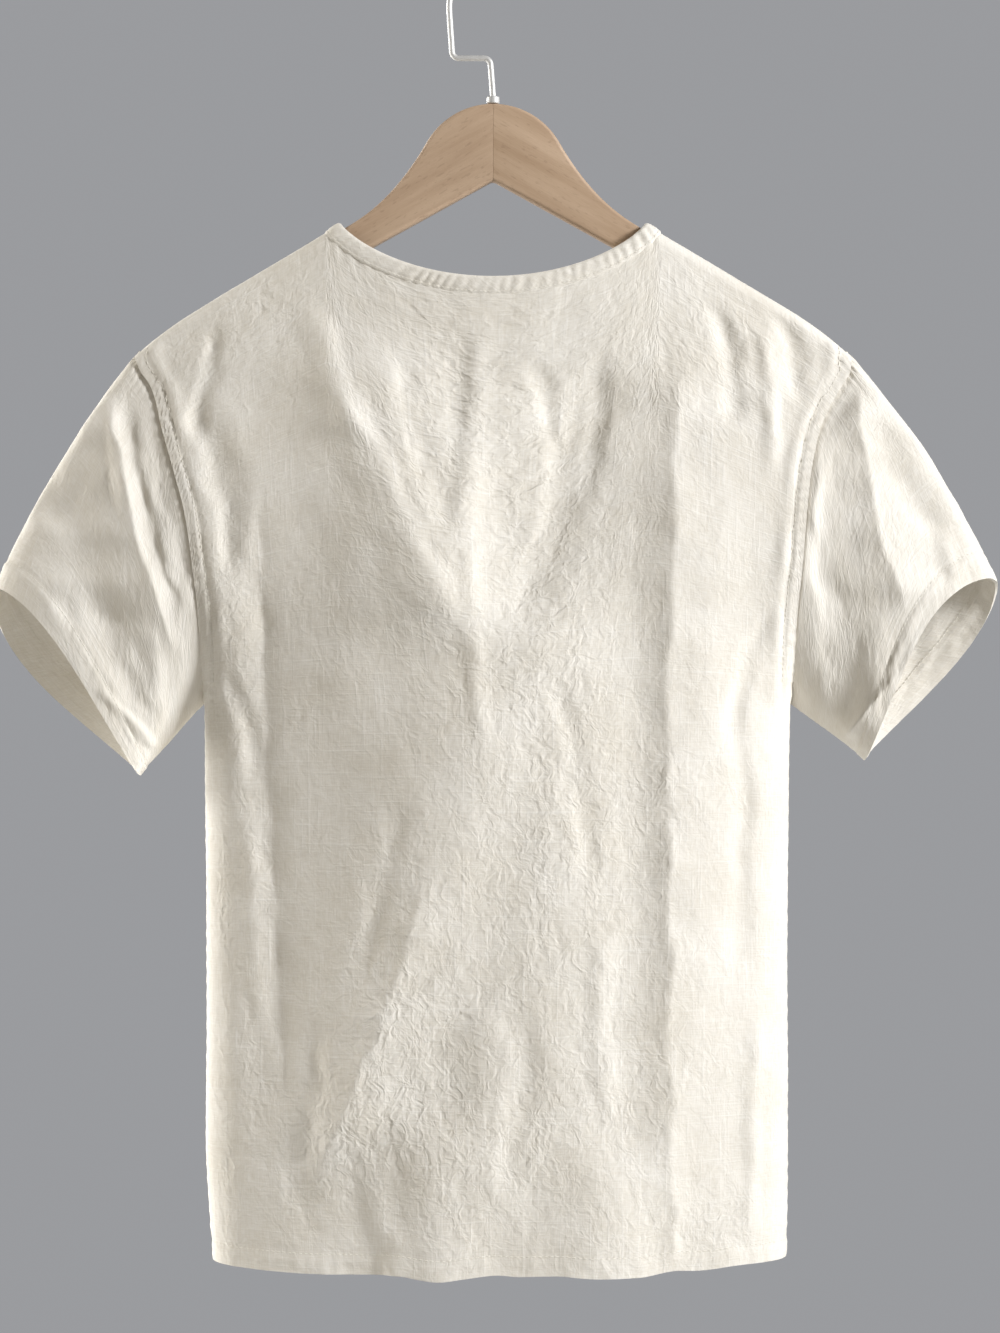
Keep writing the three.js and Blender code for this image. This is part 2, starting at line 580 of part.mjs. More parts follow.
function hookGeometry() {
  const point = (x, z) => new THREE.Vector3(x, 0, z);
  const centreZ = WIRE_RADIUS - HOOK_RADIUS;
  const shank = point(0, WOOD_TOP_Z - SHANK_DEPTH + 1);
  const collarTop = point(0, WOOD_TOP_Z + 6);
  const stepStart = point(STEP_START_X, STEP_Z);
  const riserFoot = point(RISER_FOOT_X, STEP_Z);
  const riserTop = point(-HOOK_RADIUS, centreZ);
  const path = new THREE.CurvePath();
  path.add(new THREE.LineCurve3(shank, collarTop));
  const afterStep = roundedCorner(path, collarTop, stepStart, riserFoot, STEP_ROUND);
  const afterRiser = roundedCorner(path, afterStep, riserFoot, riserTop, STEP_ROUND);
  path.add(new THREE.LineCurve3(afterRiser, riserTop));
  const bend = Array.from({ length: 17 }, (_, i) => {
    const turn = lerp(Math.PI, HOOK_END_TURN, i / 16);
    return point(HOOK_RADIUS * Math.cos(turn), centreZ + HOOK_RADIUS * Math.sin(turn));
  });
  path.add(new THREE.CatmullRomCurve3(bend));
  const wire = new THREE.Shape().absarc(0, 0, WIRE_RADIUS, 0, 2 * Math.PI, false);
  return new THREE.ExtrudeGeometry(wire, {
    steps: HOOK_STEPS, curveSegments: 4, bevelEnabled: false, extrudePath: path,
  });
}

// The small metal collar at the foot of the hook.
const COLLAR_RADIUS = 4.4;
const COLLAR_HEIGHT = 5;
function collarGeometry() {
  const bore = WIRE_RADIUS + SHANK_CLEARANCE;
  const foot = WOOD_TOP_Z + SEAM_GAP;
  const top = foot + COLLAR_HEIGHT;
  const profile = [
    [bore, foot], [COLLAR_RADIUS - 0.5, foot], [COLLAR_RADIUS, foot + 0.6],
    [COLLAR_RADIUS, top - 1], [COLLAR_RADIUS - 1, top], [bore, top], [bore, foot],
  ].map(([x, z]) => new THREE.Vector2(x, z));
  return new THREE.LatheGeometry(profile, 20).rotateX(Math.PI / 2);
}

const linen = new THREE.MeshStandardMaterial({ color: "#e6e1d3", roughness: 0.92, metalness: 0 });
const wood = new THREE.MeshStandardMaterial({ color: "#bb9b78", roughness: 0.55, metalness: 0 });
const chrome = new THREE.MeshStandardMaterial({ color: "#cfcfcf", roughness: 0.2, metalness: 1 });

function piece(name, geometry, material) {
  const mesh = new THREE.Mesh(geometry, material);
  mesh.name = name;
  return mesh;
}

const hanger = new THREE.Group();
hanger.add(
  piece("hanger_wood", woodGeometry(), wood),
  piece("hanger_hook", hookGeometry(), chrome),
  piece("hook_collar", collarGeometry(), chrome),
);

const blouse = new THREE.Group();
blouse.add(
  piece("back_panel", panelGeometry(BACK), linen),
  piece("front_panel", panelGeometry(FRONT), linen),
  piece("neck_band", bandGeometry(), linen),
  ...SLEEVES.map((spec) => piece(spec.name, sleeveGeometry(spec), linen)),
);

const hung = new THREE.Group();
hung.add(hanger, blouse);

export default hung;
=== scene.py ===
import logging
import math
from contextlib import contextmanager
from dataclasses import dataclass, field
from enum import Enum
from typing import Any, Iterator, NamedTuple, Sequence

import bpy
import numpy as np
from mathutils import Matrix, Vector


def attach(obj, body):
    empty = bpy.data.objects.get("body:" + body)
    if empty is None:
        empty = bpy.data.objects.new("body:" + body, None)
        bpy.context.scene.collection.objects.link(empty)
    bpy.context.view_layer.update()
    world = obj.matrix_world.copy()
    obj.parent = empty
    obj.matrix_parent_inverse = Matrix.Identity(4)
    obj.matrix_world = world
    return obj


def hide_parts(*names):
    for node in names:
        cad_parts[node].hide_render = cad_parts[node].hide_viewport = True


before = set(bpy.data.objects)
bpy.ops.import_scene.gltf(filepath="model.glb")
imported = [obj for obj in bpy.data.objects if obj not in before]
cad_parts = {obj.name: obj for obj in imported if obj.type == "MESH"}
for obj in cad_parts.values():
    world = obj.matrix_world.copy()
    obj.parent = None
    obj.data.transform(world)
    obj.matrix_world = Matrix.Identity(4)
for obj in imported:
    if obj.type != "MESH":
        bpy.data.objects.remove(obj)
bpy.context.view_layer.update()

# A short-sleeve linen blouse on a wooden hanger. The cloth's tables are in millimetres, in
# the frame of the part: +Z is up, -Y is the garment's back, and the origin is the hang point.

log = logging.getLogger("blouse")
MM = 0.001
IMAGE_SIZE = (1000, 1333)

Array = np.ndarray
Piece = bpy.types.Object
Colour = tuple[float, float, float, float]
Spot = tuple[float, float]
Sewn = tuple[Piece, list[Piece]]


# Tables


def table(kind: type, *rows: tuple[Any, ...]) -> tuple[Any, ...]:
    """Makes a table from its rows, which are all of one kind."""
    return tuple(kind(*row) for row in rows)


class RidgePoint(NamedTuple):
    """A point of the shoulder line."""

    x: float
    z: float


class Section(NamedTuple):
    """A level section of the body, and how far from its middle plane the armhole cuts it."""

    z: float
    left: float
    right: float
    back: float
    front: float
    edge_y: float = 0.0


class HemDrop(NamedTuple):
    """How far the hem hangs below its level at a place across the body."""

    x: float
    drop: float


class Kind(Enum):
    """How a crease is shaped across."""

    SOFT = "soft"
    PRESSED = "pressed"


class Crease(NamedTuple):
    """A long crease on a panel, from its top to its foot. A trough has a height below 0."""

    top_x: float
    top_z: float
    foot_x: float
    foot_z: float
    bow: float
    height: float
    left: float
    right: float
    kind: Kind = Kind.SOFT
    fade: float = 0.22


class Bend(NamedTuple):
    """A straight stretch of the hook's wire, and the bend after it, in degrees to the left."""

    length: float
    radius: float
    angle: float
    steps: int


class Rumple(NamedTuple):
    """A patch of a panel that is more crumpled than the rest."""

    x: float
    z: float
    wide: float
    high: float
    strength: float


UNDERARM_Z = -502.0
HEM_Z = -881.0
TIP_X = 243.0
NECK_HALF = 104.0
NECK_POINT_Z = -173.5
SHOULDER_SLOPE = 0.6
BAND_WIDTH = 11.4
BAND_LEVEL = BAND_WIDTH / math.hypot(1, SHOULDER_SLOPE)
FAR = 99.0  # Stands for the way to a seam that isn't near.
WANDER = 5.0  # How far the creases stray from their lines.

RIDGE = table(
    RidgePoint,
    (0, NECK_POINT_Z + SHOULDER_SLOPE * NECK_HALF), (NECK_HALF, NECK_POINT_Z),
    (191.5, NECK_POINT_Z - SHOULDER_SLOPE * 87.5), (214, -240), (232, -253.3), (TIP_X, -263.5),
)
SECTIONS = table(
    Section,
    (HEM_Z, 191, 200, 51, 58), (-850, 193.5, 201, 50.5, 58), (-800, 196, 201.5, 50, 57),
    (-680, 195.5, 201, 50, 56), (-560, 196.5, 202, 50, 55), (UNDERARM_Z, 197, 203, 50, 54),
)
ARMHOLES = table(
    Section,
    (UNDERARM_Z, 197, 203, 50, 54, 0), (-483, 196.5, 203, 50, 53, 13),
    (-457, 197, 203.5, 49, 52, 24), (-434, 198.5, 205, 48, 50, 30), (-405, 202, 208, 46, 48, 34),
    (-375, 206.5, 210.5, 44, 46, 34), (-345, 214.5, 214, 41, 43, 31),
    (-315, 223.5, 221, 37, 39, 25), (-297, 228, 229.5, 34, 36, 19),
    (-285, 232.5, 237, 32, 34, 14.5), (-275, 239.5, 242.5, 31, 33, 11.5),
    (-263.5, TIP_X, TIP_X, 30, 32, 10), (-170, TIP_X, TIP_X, 26, 28, 10),
)
BACK_FOLDS = table(
    Crease,
    (-92, -236, -18, -480, -3, 10, 95, 62), (-18, -440, -132, -860, 22, 7, 90, 66),
    (62, -262, 2, -470, 5, -6, 66, 95), (14, -330, 46, -1000, 0, 9, 150, 95),
    (141, -270, 118, -895, 2, 4, 45, 40), (-152, -330, -138, -880, -6, -5, 45, 70),
    (-40, -760, -37, -960, 0, 7, 46, 52), (80, -780, 84, -960, 0, 5, 50, 44),
)
FRONT_FOLDS = table(
    Crease,
    (-96, -250, -52, -905, 10, -8, 46, 44), (92, -256, 64, -905, -8, -7.5, 44, 48),
    (0, -330, 6, -960, 5, 5, 50, 50), (-138, -340, -120, -960, -4, 4.5, 40, 36),
    (140, -350, 128, -960, 5, 4, 36, 38),
)
# Creases that are finer than the solids' folds, in the same terms.
BACK_CREASES = table(
    Crease,
    (-114, -258, -12, -474, -3, 3.0, 34, 16), (74, -262, 18, -450, 0, -2.4, 18, 34),
    (-6, -240, -22, -400, 0, 2.2, 12, 18),
    (-40, -600, -136, -850, 8, 3.6, 26, 34, Kind.PRESSED, 0.22),
    (-4, -690, 4, -860, 0, 2.2, 34, 26),
    (128, -262, 118, -600, -3, 3.2, 30, 22, Kind.PRESSED, 0.12),
    (119, -560, 122, -900, -2, 2.8, 26, 20, Kind.PRESSED, 0.12),
    (-158, -330, -132, -860, -4, -1.6, 14, 18, Kind.PRESSED, 0.2),
    (-204, -290, -176, -420, 6, -2.6, 12, 20), (-188, -240, -206, -330, 3, -2, 9, 12),
    (150, -225, 162, -318, 5, -2.6, 13, 12), (196, -232, 206, -300, 2, -2.6, 10, 13),
    (178, -240, 188, -352, 4, 2.2, 11, 11), (-120, -225, -86, -330, -5, 2.4, 20, 12),
    (-66, -252, -22, -400, -4, -1.8, 13, 16), (20, -262, 46, -352, 5, -1.6, 12, 14),
    (74, -258, 58, -372, 4, -1.5, 13, 12), (-14, -380, -4, -540, -5, 1.6, 12, 12),
    (36, -470, 66, -640, 6, -1.5, 14, 16), (-60, -560, -96, -700, 5, -1.5, 14, 12),
    (-112, -700, -128, -850, -4, -1.8, 16, 14), (-86, -790, -60, -900, 0, 2, 14, 16),
    (20, -700, 6, -840, 6, -1.4, 14, 14), (72, -640, 82, -800, -5, 1.5, 12, 15),
    (-168, -560, -160, -740, 3, 1.4, 10, 14), (160, -480, 168, -700, 4, -1.5, 13, 10),
    (176, -700, 170, -880, 3, 1.7, 10, 9), (-186, -470, -160, -560, 6, -1.8, 9, 12),
    (184, -440, 158, -540, -5, -1.8, 10, 10),
)
FRONT_CREASES = table(
    Crease,
    (-150, -250, -196, -420, -6, 2.4, 14, 16), (150, -250, 190, -400, 6, 2.4, 14, 14),
    (-70, -310, -30, -420, 5, 2.0, 14, 16), (64, -312, 34, -430, -4, 2.2, 14, 14),
    (-20, -420, -32, -620, 5, -2.0, 13, 15), (30, -480, 44, -690, -5, 1.8, 14, 13),
    (-110, -480, -100, -700, 4, -2.2, 13, 14), (112, -470, 104, -720, -5, -2.0, 12, 15),
    (-160, -600, -150, -860, 4, 1.9, 12, 13), (158, -620, 160, -870, -4, 1.8, 12, 12),
    (-10, -720, 16, -890, 4, 1.8, 15, 14), (60, -760, 40, -900, 3, -1.9, 13, 12),
    (-70, -740, -86, -890, -3, 2.0, 12, 14), (-186, -470, -166, -560, 5, 1.8, 10, 12),
    (186, -460, 164, -560, -5, 1.8, 10, 11),
)
LEFT_BACK_CREASES = table(
    Crease,
    (-262, -284, -213, -474, -3.4, 6.6, 60, 15, Kind.PRESSED, 0.24),
    (-304, -330, -244, -500, -3, -3.4, 34, 36), (-258, -286, -240, -390, -3, 1.6, 10, 14),
    (-244, -292, -206, -446, -3, 2.0, 7, 12), (-268, -488, -226, -540, 2, 1.5, 8, 6),
    (-300, -372, -262, -505, 3, 1.2, 16, 22), (-272, -420, -232, -520, -3, -1.4, 16, 13),
    (-318, -404, -276, -480, 2, 1.0, 11, 14), (-236, -438, -226, -530, 2, 1.3, 12, 9),
)
LEFT_FRONT_CREASES = table(
    Crease,
    (-254, -294, -226, -486, 5, 4.0, 26, 20), (-276, -330, -258, -520, -4, -2.6, 20, 18),
    (-306, -384, -282, -492, 3, 1.8, 16, 18), (-222, -350, -206, -478, -2, -1.6, 12, 12),
)
RIGHT_BACK_CREASES = table(
    Crease,
    (248, -280, 281, -446, -9, 6.4, 40, 56, Kind.PRESSED, 0.14),
    (284, -292, 342, -438, 3, 5.0, 46, 16),
    (222, -312, 217, -400, -2, 2.6, 6, 11, Kind.PRESSED, 0.3),
    (221, -372, 234, -512, -2, -1.8, 12, 32),
    (276, -476, 230, -534, 0, 4.2, 17, 18, Kind.PRESSED, 0.18),
    (268, -330, 330, -452, 3, -1.2, 16, 20), (232, -410, 236, -520, 4, -1.7, 17, 19),
    (262, -440, 256, -540, -3, 1.4, 14, 12), (302, -380, 316, -446, 2, 1.0, 12, 12),
)
RIGHT_FRONT_CREASES = table(
    Crease,
    (252, -290, 236, -480, -5, 4.0, 20, 26), (278, -330, 266, -516, 4, -2.6, 18, 20),
    (310, -384, 290, -486, -3, 1.8, 18, 16), (226, -350, 214, -478, 2, -1.6, 12, 12),
)
BACK_RUMPLES = table(
    Rumple,
    (-9, -319, 70, 105, 0.95), (31, -466, 56, 130, 0.55), (52, -600, 66, 85, 0.6),
    (-62, -699, 46, 80, 0.75), (-109, -786, 60, 46, 0.85), (-15, -800, 60, 56, 0.5),
    (72, -766, 66, 76, 0.45), (-155, -232, 46, 36, 0.55), (150, -250, 60, 46, 0.4),
    (-174, -566, 18, 200, 0.35), (140, -850, 50, 26, 0.5),
)
FRONT_RUMPLES = table(
    Rumple,
    (-60, -360, 70, 80, 0.7), (66, -420, 64, 110, 0.6), (-20, -560, 76, 90, 0.6),
    (90, -680, 66, 90, 0.7), (-110, -720, 60, 90, 0.7), (0, -810, 90, 60, 0.6),
)
HEM_DROPS = table(
    HemDrop,
    (-195, -1), (-170, 0.5), (-117, 2.4), (-63, 1.6), (-50, 3.4), (-37, 4.8), (-23, 3.4), (3, 0.8),
    (17, 1.8), (43, 1.2), (70, 3.1), (97, 3.0), (123, 0), (137, 0.6), (163, -1.6), (200, -3),
)
# The hook's shank, its step, the riser above it, and the round bend over the rail.
HOOK_BENDS = table(
    Bend,
    (17, 40, 4.4, 3), (19.4, 4.6, 85.6, 8), (17.2, 4.6, -86.2, 8), (28.4, 29.8, -165.8, 56),
)


# Numbers on arrays


def smooth(x: Array, low: float, high: float) -> Array:
    """A smooth rise from 0 at low to 1 at high."""
    t = np.clip((x - low) / (high - low), 0, 1)
    return t * t * (3 - 2 * t)


def mix(a: Any, b: Any, t: Any) -> Any:
    """The value between a and b at the share t."""
    return a + (b - a) * t


def hill(x: Array, width: float) -> Array:
    """A bell over 0, 1 at its top."""
    return np.exp(-((x / width) ** 2))


def wave(turns: Array) -> Array:
    """A sine wave over its turns."""
    return np.sin(2 * np.pi * turns)


def way_along(line: Array) -> Array:
    """How far each point of a line is from its first."""
    return np.concatenate([[0], np.cumsum(np.linalg.norm(np.diff(line, axis=0), axis=1))])


def table_value(rows: Sequence[Any], key: str, column: str, at: Array) -> Array:
    """Reads one column of a table, smoothly through its rows.

    Args:
        rows: The table, in rising order of its key.
        key: The column that at is given in.
        column: The column to read.
        at: Where to read it.

    Returns:
        The column's values.
    """
    x = np.array([getattr(row, key) for row in rows], float)
    y = np.array([getattr(row, column) for row in rows], float)
    slope = np.diff(y) / np.diff(x)
    before, after = slope[:-1], slope[1:]
    both = np.where(before * after > 0, before + after, 1)
    inner = np.where(before * after > 0, 2 * before * after / both, 0)
    tangent = np.concatenate([slope[:1], inner, slope[-1:]])
    at = np.clip(at, x[0], x[-1])
    i = np.clip(np.searchsorted(x, at, side="right") - 1, 0, len(x) - 2)
    span = x[i + 1] - x[i]
    t = (at - x[i]) / span
    rise = y[i + 1] - y[i]
    start, end = tangent[i] * span, tangent[i + 1] * span
    return y[i] + t * (start + t * (3 * rise - 2 * start - end + t * (start + end - 2 * rise)))


def profile(away: Array, kind: Kind) -> Array:
    """The height across a crease, 1 at its line and 0 from 1 away.

    Args:
        away: How far from the crease's line, as a share of its width.
        kind: Its shape.

    Returns:
        The height at each place.
    """
    near = np.clip(1 - np.abs(away), 0, 1)
    if kind is Kind.PRESSED:
        return near**2
    return 0.5 * (1 - np.cos(np.pi * near))


def crease_height(creases: Sequence[Crease], x: Array, z: Array, wander: float = 0.0) -> Array:
    """How far a panel's creases stand out.

    Args:
        creases: The creases' table.
        x: Places across, in millimetres.
        z: Their heights.
        wander: How far a crease strays from its line, in millimetres. One that strays also
            varies in height and width.

    Returns:
        The sum of the creases at each place.
    """
    total = np.zeros(np.broadcast(x, z).shape)
    for number, row in enumerate(creases):
        t = (row.top_z - z) / (row.top_z - row.foot_z)
        middle = mix(row.top_x, row.foot_x, t) + row.bow * 4 * t * (1 - t)
        height, width = row.height, 1.0
        if wander:
            lane = 0 * z + 3.7 * number
            middle = middle + wander * (noise(z / 41, lane, 71) + 0.5 * noise(z / 17, lane, 72))
            height = row.height * (1 + 0.8 * noise(z / 33, lane, 73))
            width = 1 + 0.7 * noise(z / 29, lane, 74)
        away = (x - middle) / (np.where(x < middle, row.left, row.right) * width)
        ends = smooth(t, 0, row.fade) * (1 - smooth(t, 1 - row.fade, 1))
        total = total + height * ends * profile(away, row.kind)
    return total


def noise(x: Array, y: Array, seed: int) -> Array:
    """Smooth gradient noise over a plane, about -0.7 to 0.7, with a period of about 1.

    Args:
        x: Places along one side of the plane, in periods.
        y: Places along the other.
        seed: Which pattern it is.

    Returns:
        The noise at each place.
    """
    angles = np.random.default_rng(seed).random((256, 256)) * 2 * np.pi
    x0, y0 = np.floor(x).astype(int), np.floor(y).astype(int)
    fx, fy = x - x0, y - y0

    def corner(dx: int, dy: int) -> Array:
        """What one corner of a cell adds."""
        angle = angles[(x0 + dx) % 256, (y0 + dy) % 256]
        return np.cos(angle) * (fx - dx) + np.sin(angle) * (fy - dy)

    sx, sy = fx**3 * (fx * (6 * fx - 15) + 10), fy**3 * (fy * (6 * fy - 15) + 10)
    return mix(mix(corner(0, 0), corner(1, 0), sx), mix(corner(0, 1), corner(1, 1), sx), sy)


@dataclass(frozen=True)
class Crumple:
    """The uneven small creases of washed linen, in millimetres."""

    seed: int
    rumples: Sequence[Rumple] = ()
    base: float = 0.24
    swell: float = 0.85
    fold: float = 0.42
    fine: float = 0.22

    def strength(self, u: Array, v: Array) -> Array:
        """How crumpled the cloth is at each place, from 0 to about 1.

        Args:
            u: Millimetres across the cloth.
            v: Millimetres up it.

        Returns:
            The strength at each place.
        """
        total = self.base + 0.22 * smooth(noise(u / 58, v / 66, self.seed + 8), -0.3, 0.45)
        for row in self.rumples:
            away = ((u - row.x) / row.wide) ** 2 + ((v - row.z) / row.high) ** 2
            total = total + row.strength * np.exp(-away) * (1 - 0.5 * np.minimum(total, 1))
        return np.minimum(total, 1.1)

    def height(self, u: Array, v: Array) -> Array:
        """The crumple's height.

        Args:
            u: Millimetres across the cloth.
            v: Millimetres up it.

        Returns:
            How far each point stands out.
        """
        s = self.seed
        bend_u = u + 8 * noise(u / 30, v / 36, s) + 4 * noise(u / 12, v / 14, s + 1)
        bend_v = v + 9 * noise(u / 33, v / 30, s + 2) + 4 * noise(u / 13, v / 12, s + 10)
        swell = noise(bend_u / 40, bend_v / 70, s + 3)
        swell = swell + 0.5 * noise(bend_u / 21, bend_v / 33, s + 4)
        total = self.swell * swell
        strength = self.strength(u, v)
        for scale_u, scale_v, slant, share, turn in (
            (13, 22, 0.35, 1.0, 5), (16, 15, -0.6, 0.8, 6), (8.5, 11, 0.2, 0.45, 7),
        ):
            ridge = noise((bend_u + slant * bend_v) / scale_u, bend_v / scale_v, s + turn)
            facet = np.clip(1 - np.abs(ridge) * 2.2, 0, 1)
            total = total + self.fold * share * strength * (facet - 0.5)
        return total + self.fine * (0.3 + strength) * noise(bend_u / 6.2, bend_v / 9, s + 9)


# Meshes


def deselect() -> None:
    """Leaves object mode clean, with nothing selected."""
    if bpy.context.mode != "OBJECT":
        bpy.ops.object.mode_set(mode="OBJECT")
    bpy.ops.object.select_all(action="DESELECT")


def take(piece: Piece) -> None:
    """Selects one piece alone, and makes it the active one.

    Args:
        piece: The piece.
    """
    deselect()
    piece.select_set(True)
    bpy.context.view_layer.objects.active = piece


@contextmanager
def editing(piece: Piece) -> Iterator[None]:
    """Holds a piece in edit mode, at first with all of it selected.

    Args:
        piece: The piece.

    Yields:
        Nothing, while the piece is in edit mode.
    """
    take(piece)
    bpy.ops.object.mode_set(mode="EDIT")
    bpy.ops.mesh.select_all(action="SELECT")
    yield
    bpy.ops.object.mode_set(mode="OBJECT")


def settle(name: str) -> Piece:
    """Names the new piece, and brings its place into its mesh.

    Args:
        name: Its name.

    Returns:
        The piece, with its object at the origin.
    """
    piece = bpy.context.object
    piece.name = name
    take(piece)
    bpy.ops.object.transform_apply(location=True, rotation=True, scale=True)
    return piece


def finish_modifier(piece: Piece, kind: str, **settings: Any) -> None:
    """Adds a modifier with its settings and applies it.

    Args:
        piece: The piece.
        kind: The modifier's type.
        **settings: The modifier's own settings.
    """
    take(piece)
    modifier = piece.modifiers.new(kind.title(), kind)
    for name, value in settings.items():
        setattr(modifier, name, value)
    bpy.ops.object.modifier_apply(modifier=modifier.name)


def add_object(name: str, data: Any) -> Piece:
    """Brings new data into the scene.

    Args:
        name: The new object's name.
        data: Its mesh, light or camera.

    Returns:
        The object.
    """
    made = bpy.data.objects.new(name, data)
    bpy.context.scene.collection.objects.link(made)
    return made


def shade(piece: Piece, angle: float) -> None:
    """Shades a piece smooth up to an angle in degrees."""
    take(piece)
    bpy.ops.object.shade_smooth_by_angle(angle=math.radians(angle))


def round_edges(piece: Piece, width: float) -> None:
    """Rounds a piece's sharp edges by a width in millimetres.

    Args:
        piece: The piece.
        width: How wide the rounding is.
    """
    finish_modifier(
        piece, "BEVEL", width=width * MM, segments=4, limit_method="ANGLE",
        angle_limit=math.radians(50),
    )
    shade(piece, 40)


def dress(piece: Piece, material: bpy.types.Material) -> None:
    """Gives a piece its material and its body.

    Args:
        piece: The piece.
        material: Its material.
    """
    piece.data.materials.clear()
    piece.data.materials.append(material)
    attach(piece, "root")


def grid_normals(points: Array, closed: bool) -> Array:
    """The normals of a grid of points.

    Args:
        points: Rows by columns by 3.
        closed: Whether the last column meets the first, which it repeats.

    Returns:
        Unit normals, rows by columns by 3.
    """
    across = np.gradient(points, axis=1)
    if closed:
        ends = (points[:, 1] - points[:, -2]) / 2
        across[:, 0] = ends
        across[:, -1] = ends
    up = np.gradient(points, axis=0)
    normal = np.cross(across, up)
    return normal / (np.linalg.norm(normal, axis=2, keepdims=True) + 1e-12)


def cloth_piece(
    name: str,
    points: Array,
    flat: tuple[Array, Array],
    thin: float,
    thick: float,
    hem: Array,
    rumple: Array,
    closed: bool = False,
) -> Piece:
    """Makes a sheet of cloth: a flat grid is laid on the form and given its thickness.

    Args:
        name: The piece's name.
        points: Where the grid's points go, in millimetres, rows by columns by 3.
        flat: How far across and up the same points are on the flat cut, in millimetres.
        thin: The thickness of one layer, in millimetres.
        thick: The thickness at a hem.
        hem: Which points are on a hem, rows by columns.
        rumple: How crumpled each point is, rows by columns.
        closed: Whether the last column meets the first.

    Returns:
        The new piece.
    """
    rows, columns = points.shape[:2]
    deselect()
    bpy.ops.mesh.primitive_grid_add(
        x_subdivisions=columns - 1, y_subdivisions=rows - 1, size=1, calc_uvs=True
    )
    piece = bpy.context.object
    piece.name = name
    mesh = piece.data
    mesh.name = name
    mesh.vertices.foreach_set("co", (points.reshape(-1, 3) * MM).ravel())
    corners = np.empty(len(mesh.loops), np.int32)
    mesh.loops.foreach_get("vertex_index", corners)
    cut = np.stack(np.broadcast_arrays(*flat), -1).reshape(-1, 2)
    mesh.uv_layers[0].data.foreach_set("uv", (cut[corners] * MM).ravel())
    strength = mesh.attributes.new("rumple", "FLOAT", "POINT")
    strength.data.foreach_set("value", np.broadcast_to(rumple, (rows, columns)).ravel())
    group = piece.vertex_groups.new(name="hem")
    on_hem = hem.ravel()
    group.add(np.flatnonzero(on_hem).tolist(), 1.0, "REPLACE")
    group.add(np.flatnonzero(~on_hem).tolist(), thin / thick, "REPLACE")
    above = np.zeros((rows, columns), bool)
    above[1:] |= hem[:-1] & ~hem[1:]
    above[:-1] |= hem[1:] & ~hem[:-1]
    group.add(np.flatnonzero(above.ravel()).tolist(), 0.5 * thin / thick, "REPLACE")
    mesh.update()
    if closed:
        with editing(piece):
            bpy.ops.mesh.remove_doubles(threshold=0.02 * MM)
    finish_modifier(
        piece, "SOLIDIFY", thickness=thick * MM, offset=-1.0, vertex_group="hem",
        use_rim=True, use_even_offset=False,
    )
    shade(piece, 60)
    return piece


def lay_stitches(
    name: str,
    line: Array,
    normals: Array,
    length: float = 2.9,
    gap: float = 0.9,
    width: float = 0.55,
) -> Piece:
    """Lays a row of stitches along a line on the cloth.

    Args:
        name: The piece's name.
        line: The line's points, in millimetres.
        normals: Which way the cloth looks there.
        length: One stitch, in millimetres.
        gap: The cloth between two stitches.
        width: How thick the thread lies.

    Returns:
        All the stitches, as one piece.
    """
    deselect()
    bpy.ops.mesh.primitive_uv_sphere_add(segments=6, ring_count=4, radius=0.5)
    single = bpy.context.object
    shape = np.empty(len(single.data.vertices) * 3)
    single.data.vertices.foreach_get("co", shape)
    shape = shape.reshape(-1, 3)
    shape = shape[:, [2, 0, 1]] * (length, width, width * 0.8)
    faces = [tuple(face.vertices) for face in single.data.polygons]
    bpy.data.objects.remove(single)
    along = way_along(line)
    count = int(along[-1] / (length + gap))
    starts = (np.arange(count) + 0.5) * along[-1] / count
    sample = lambda at, values: np.stack([np.interp(at, along, values[:, k]) for k in range(3)], 1)
    before, after = sample(starts - length / 2, line), sample(starts + length / 2, line)
    forward = after - before
    forward /= np.linalg.norm(forward, axis=1, keepdims=True)
    out = sample(starts, normals)
    side = np.cross(out, forward)
    side /= np.linalg.norm(side, axis=1, keepdims=True)
    out = np.cross(forward, side)
    middle = sample(starts, line) + out * width * 0.12
    where = (
        middle[:, None]
        + shape[None, :, :1] * forward[:, None]
        + shape[None, :, 1:2] * side[:, None]
        + shape[None, :, 2:] * out[:, None]
    )
    mesh = bpy.data.meshes.new(name)
    size = len(shape)
    every = [tuple(i + k * size for i in face) for k in range(count) for face in faces]
    mesh.from_pydata((where.reshape(-1, 3) * MM).tolist(), [], every)
    mesh.update()
    piece = add_object(name, mesh)
    shade(piece, 80)
    return piece


# Materials


class Value:
    """A socket that Python's own operators work on."""

    def __init__(self, tree: "NodeTree", socket: bpy.types.NodeSocket) -> None:
        """Wraps a socket of a tree."""
        self.tree = tree
        self.socket = socket

    def _math(self, operation: str, *values: Any) -> "Value":
        """Adds one Math node."""
        return self.tree.node("ShaderNodeMath", {"operation": operation}, dict(enumerate(values)))

    def __add__(self, other: Any) -> "Value":
        """The sum."""
        return self._math("ADD", self, other)

    __radd__ = __add__

    def __mul__(self, other: Any) -> "Value":
        """The product."""
        return self._math("MULTIPLY", self, other)

    __rmul__ = __mul__

    def __sub__(self, other: Any) -> "Value":
        """The difference."""
        return self._math("SUBTRACT", self, other)

    def __rsub__(self, other: Any) -> "Value":
        """The difference from a number."""
        return self._math("SUBTRACT", other, self)

    def above(self, limit: float) -> "Value":
        """1 where the value is over a limit, and 0 elsewhere."""
        return self._math("GREATER_THAN", self, limit)

    def size(self) -> "Value":
        """The value without its sign."""
        return self._math("ABSOLUTE", self)

    def rise(self, low: float, high: float) -> "Value":
        """A smooth rise from 0 at low to 1 at high.

        Args:
            low: Where it is 0.
            high: Where it is 1.

        Returns:
            The rise.
        """
        return self.tree.node(
            "ShaderNodeMapRange",
            {"interpolation_type": "SMOOTHSTEP"},
            {"Value": self, "From Min": low, "From Max": high},
        )


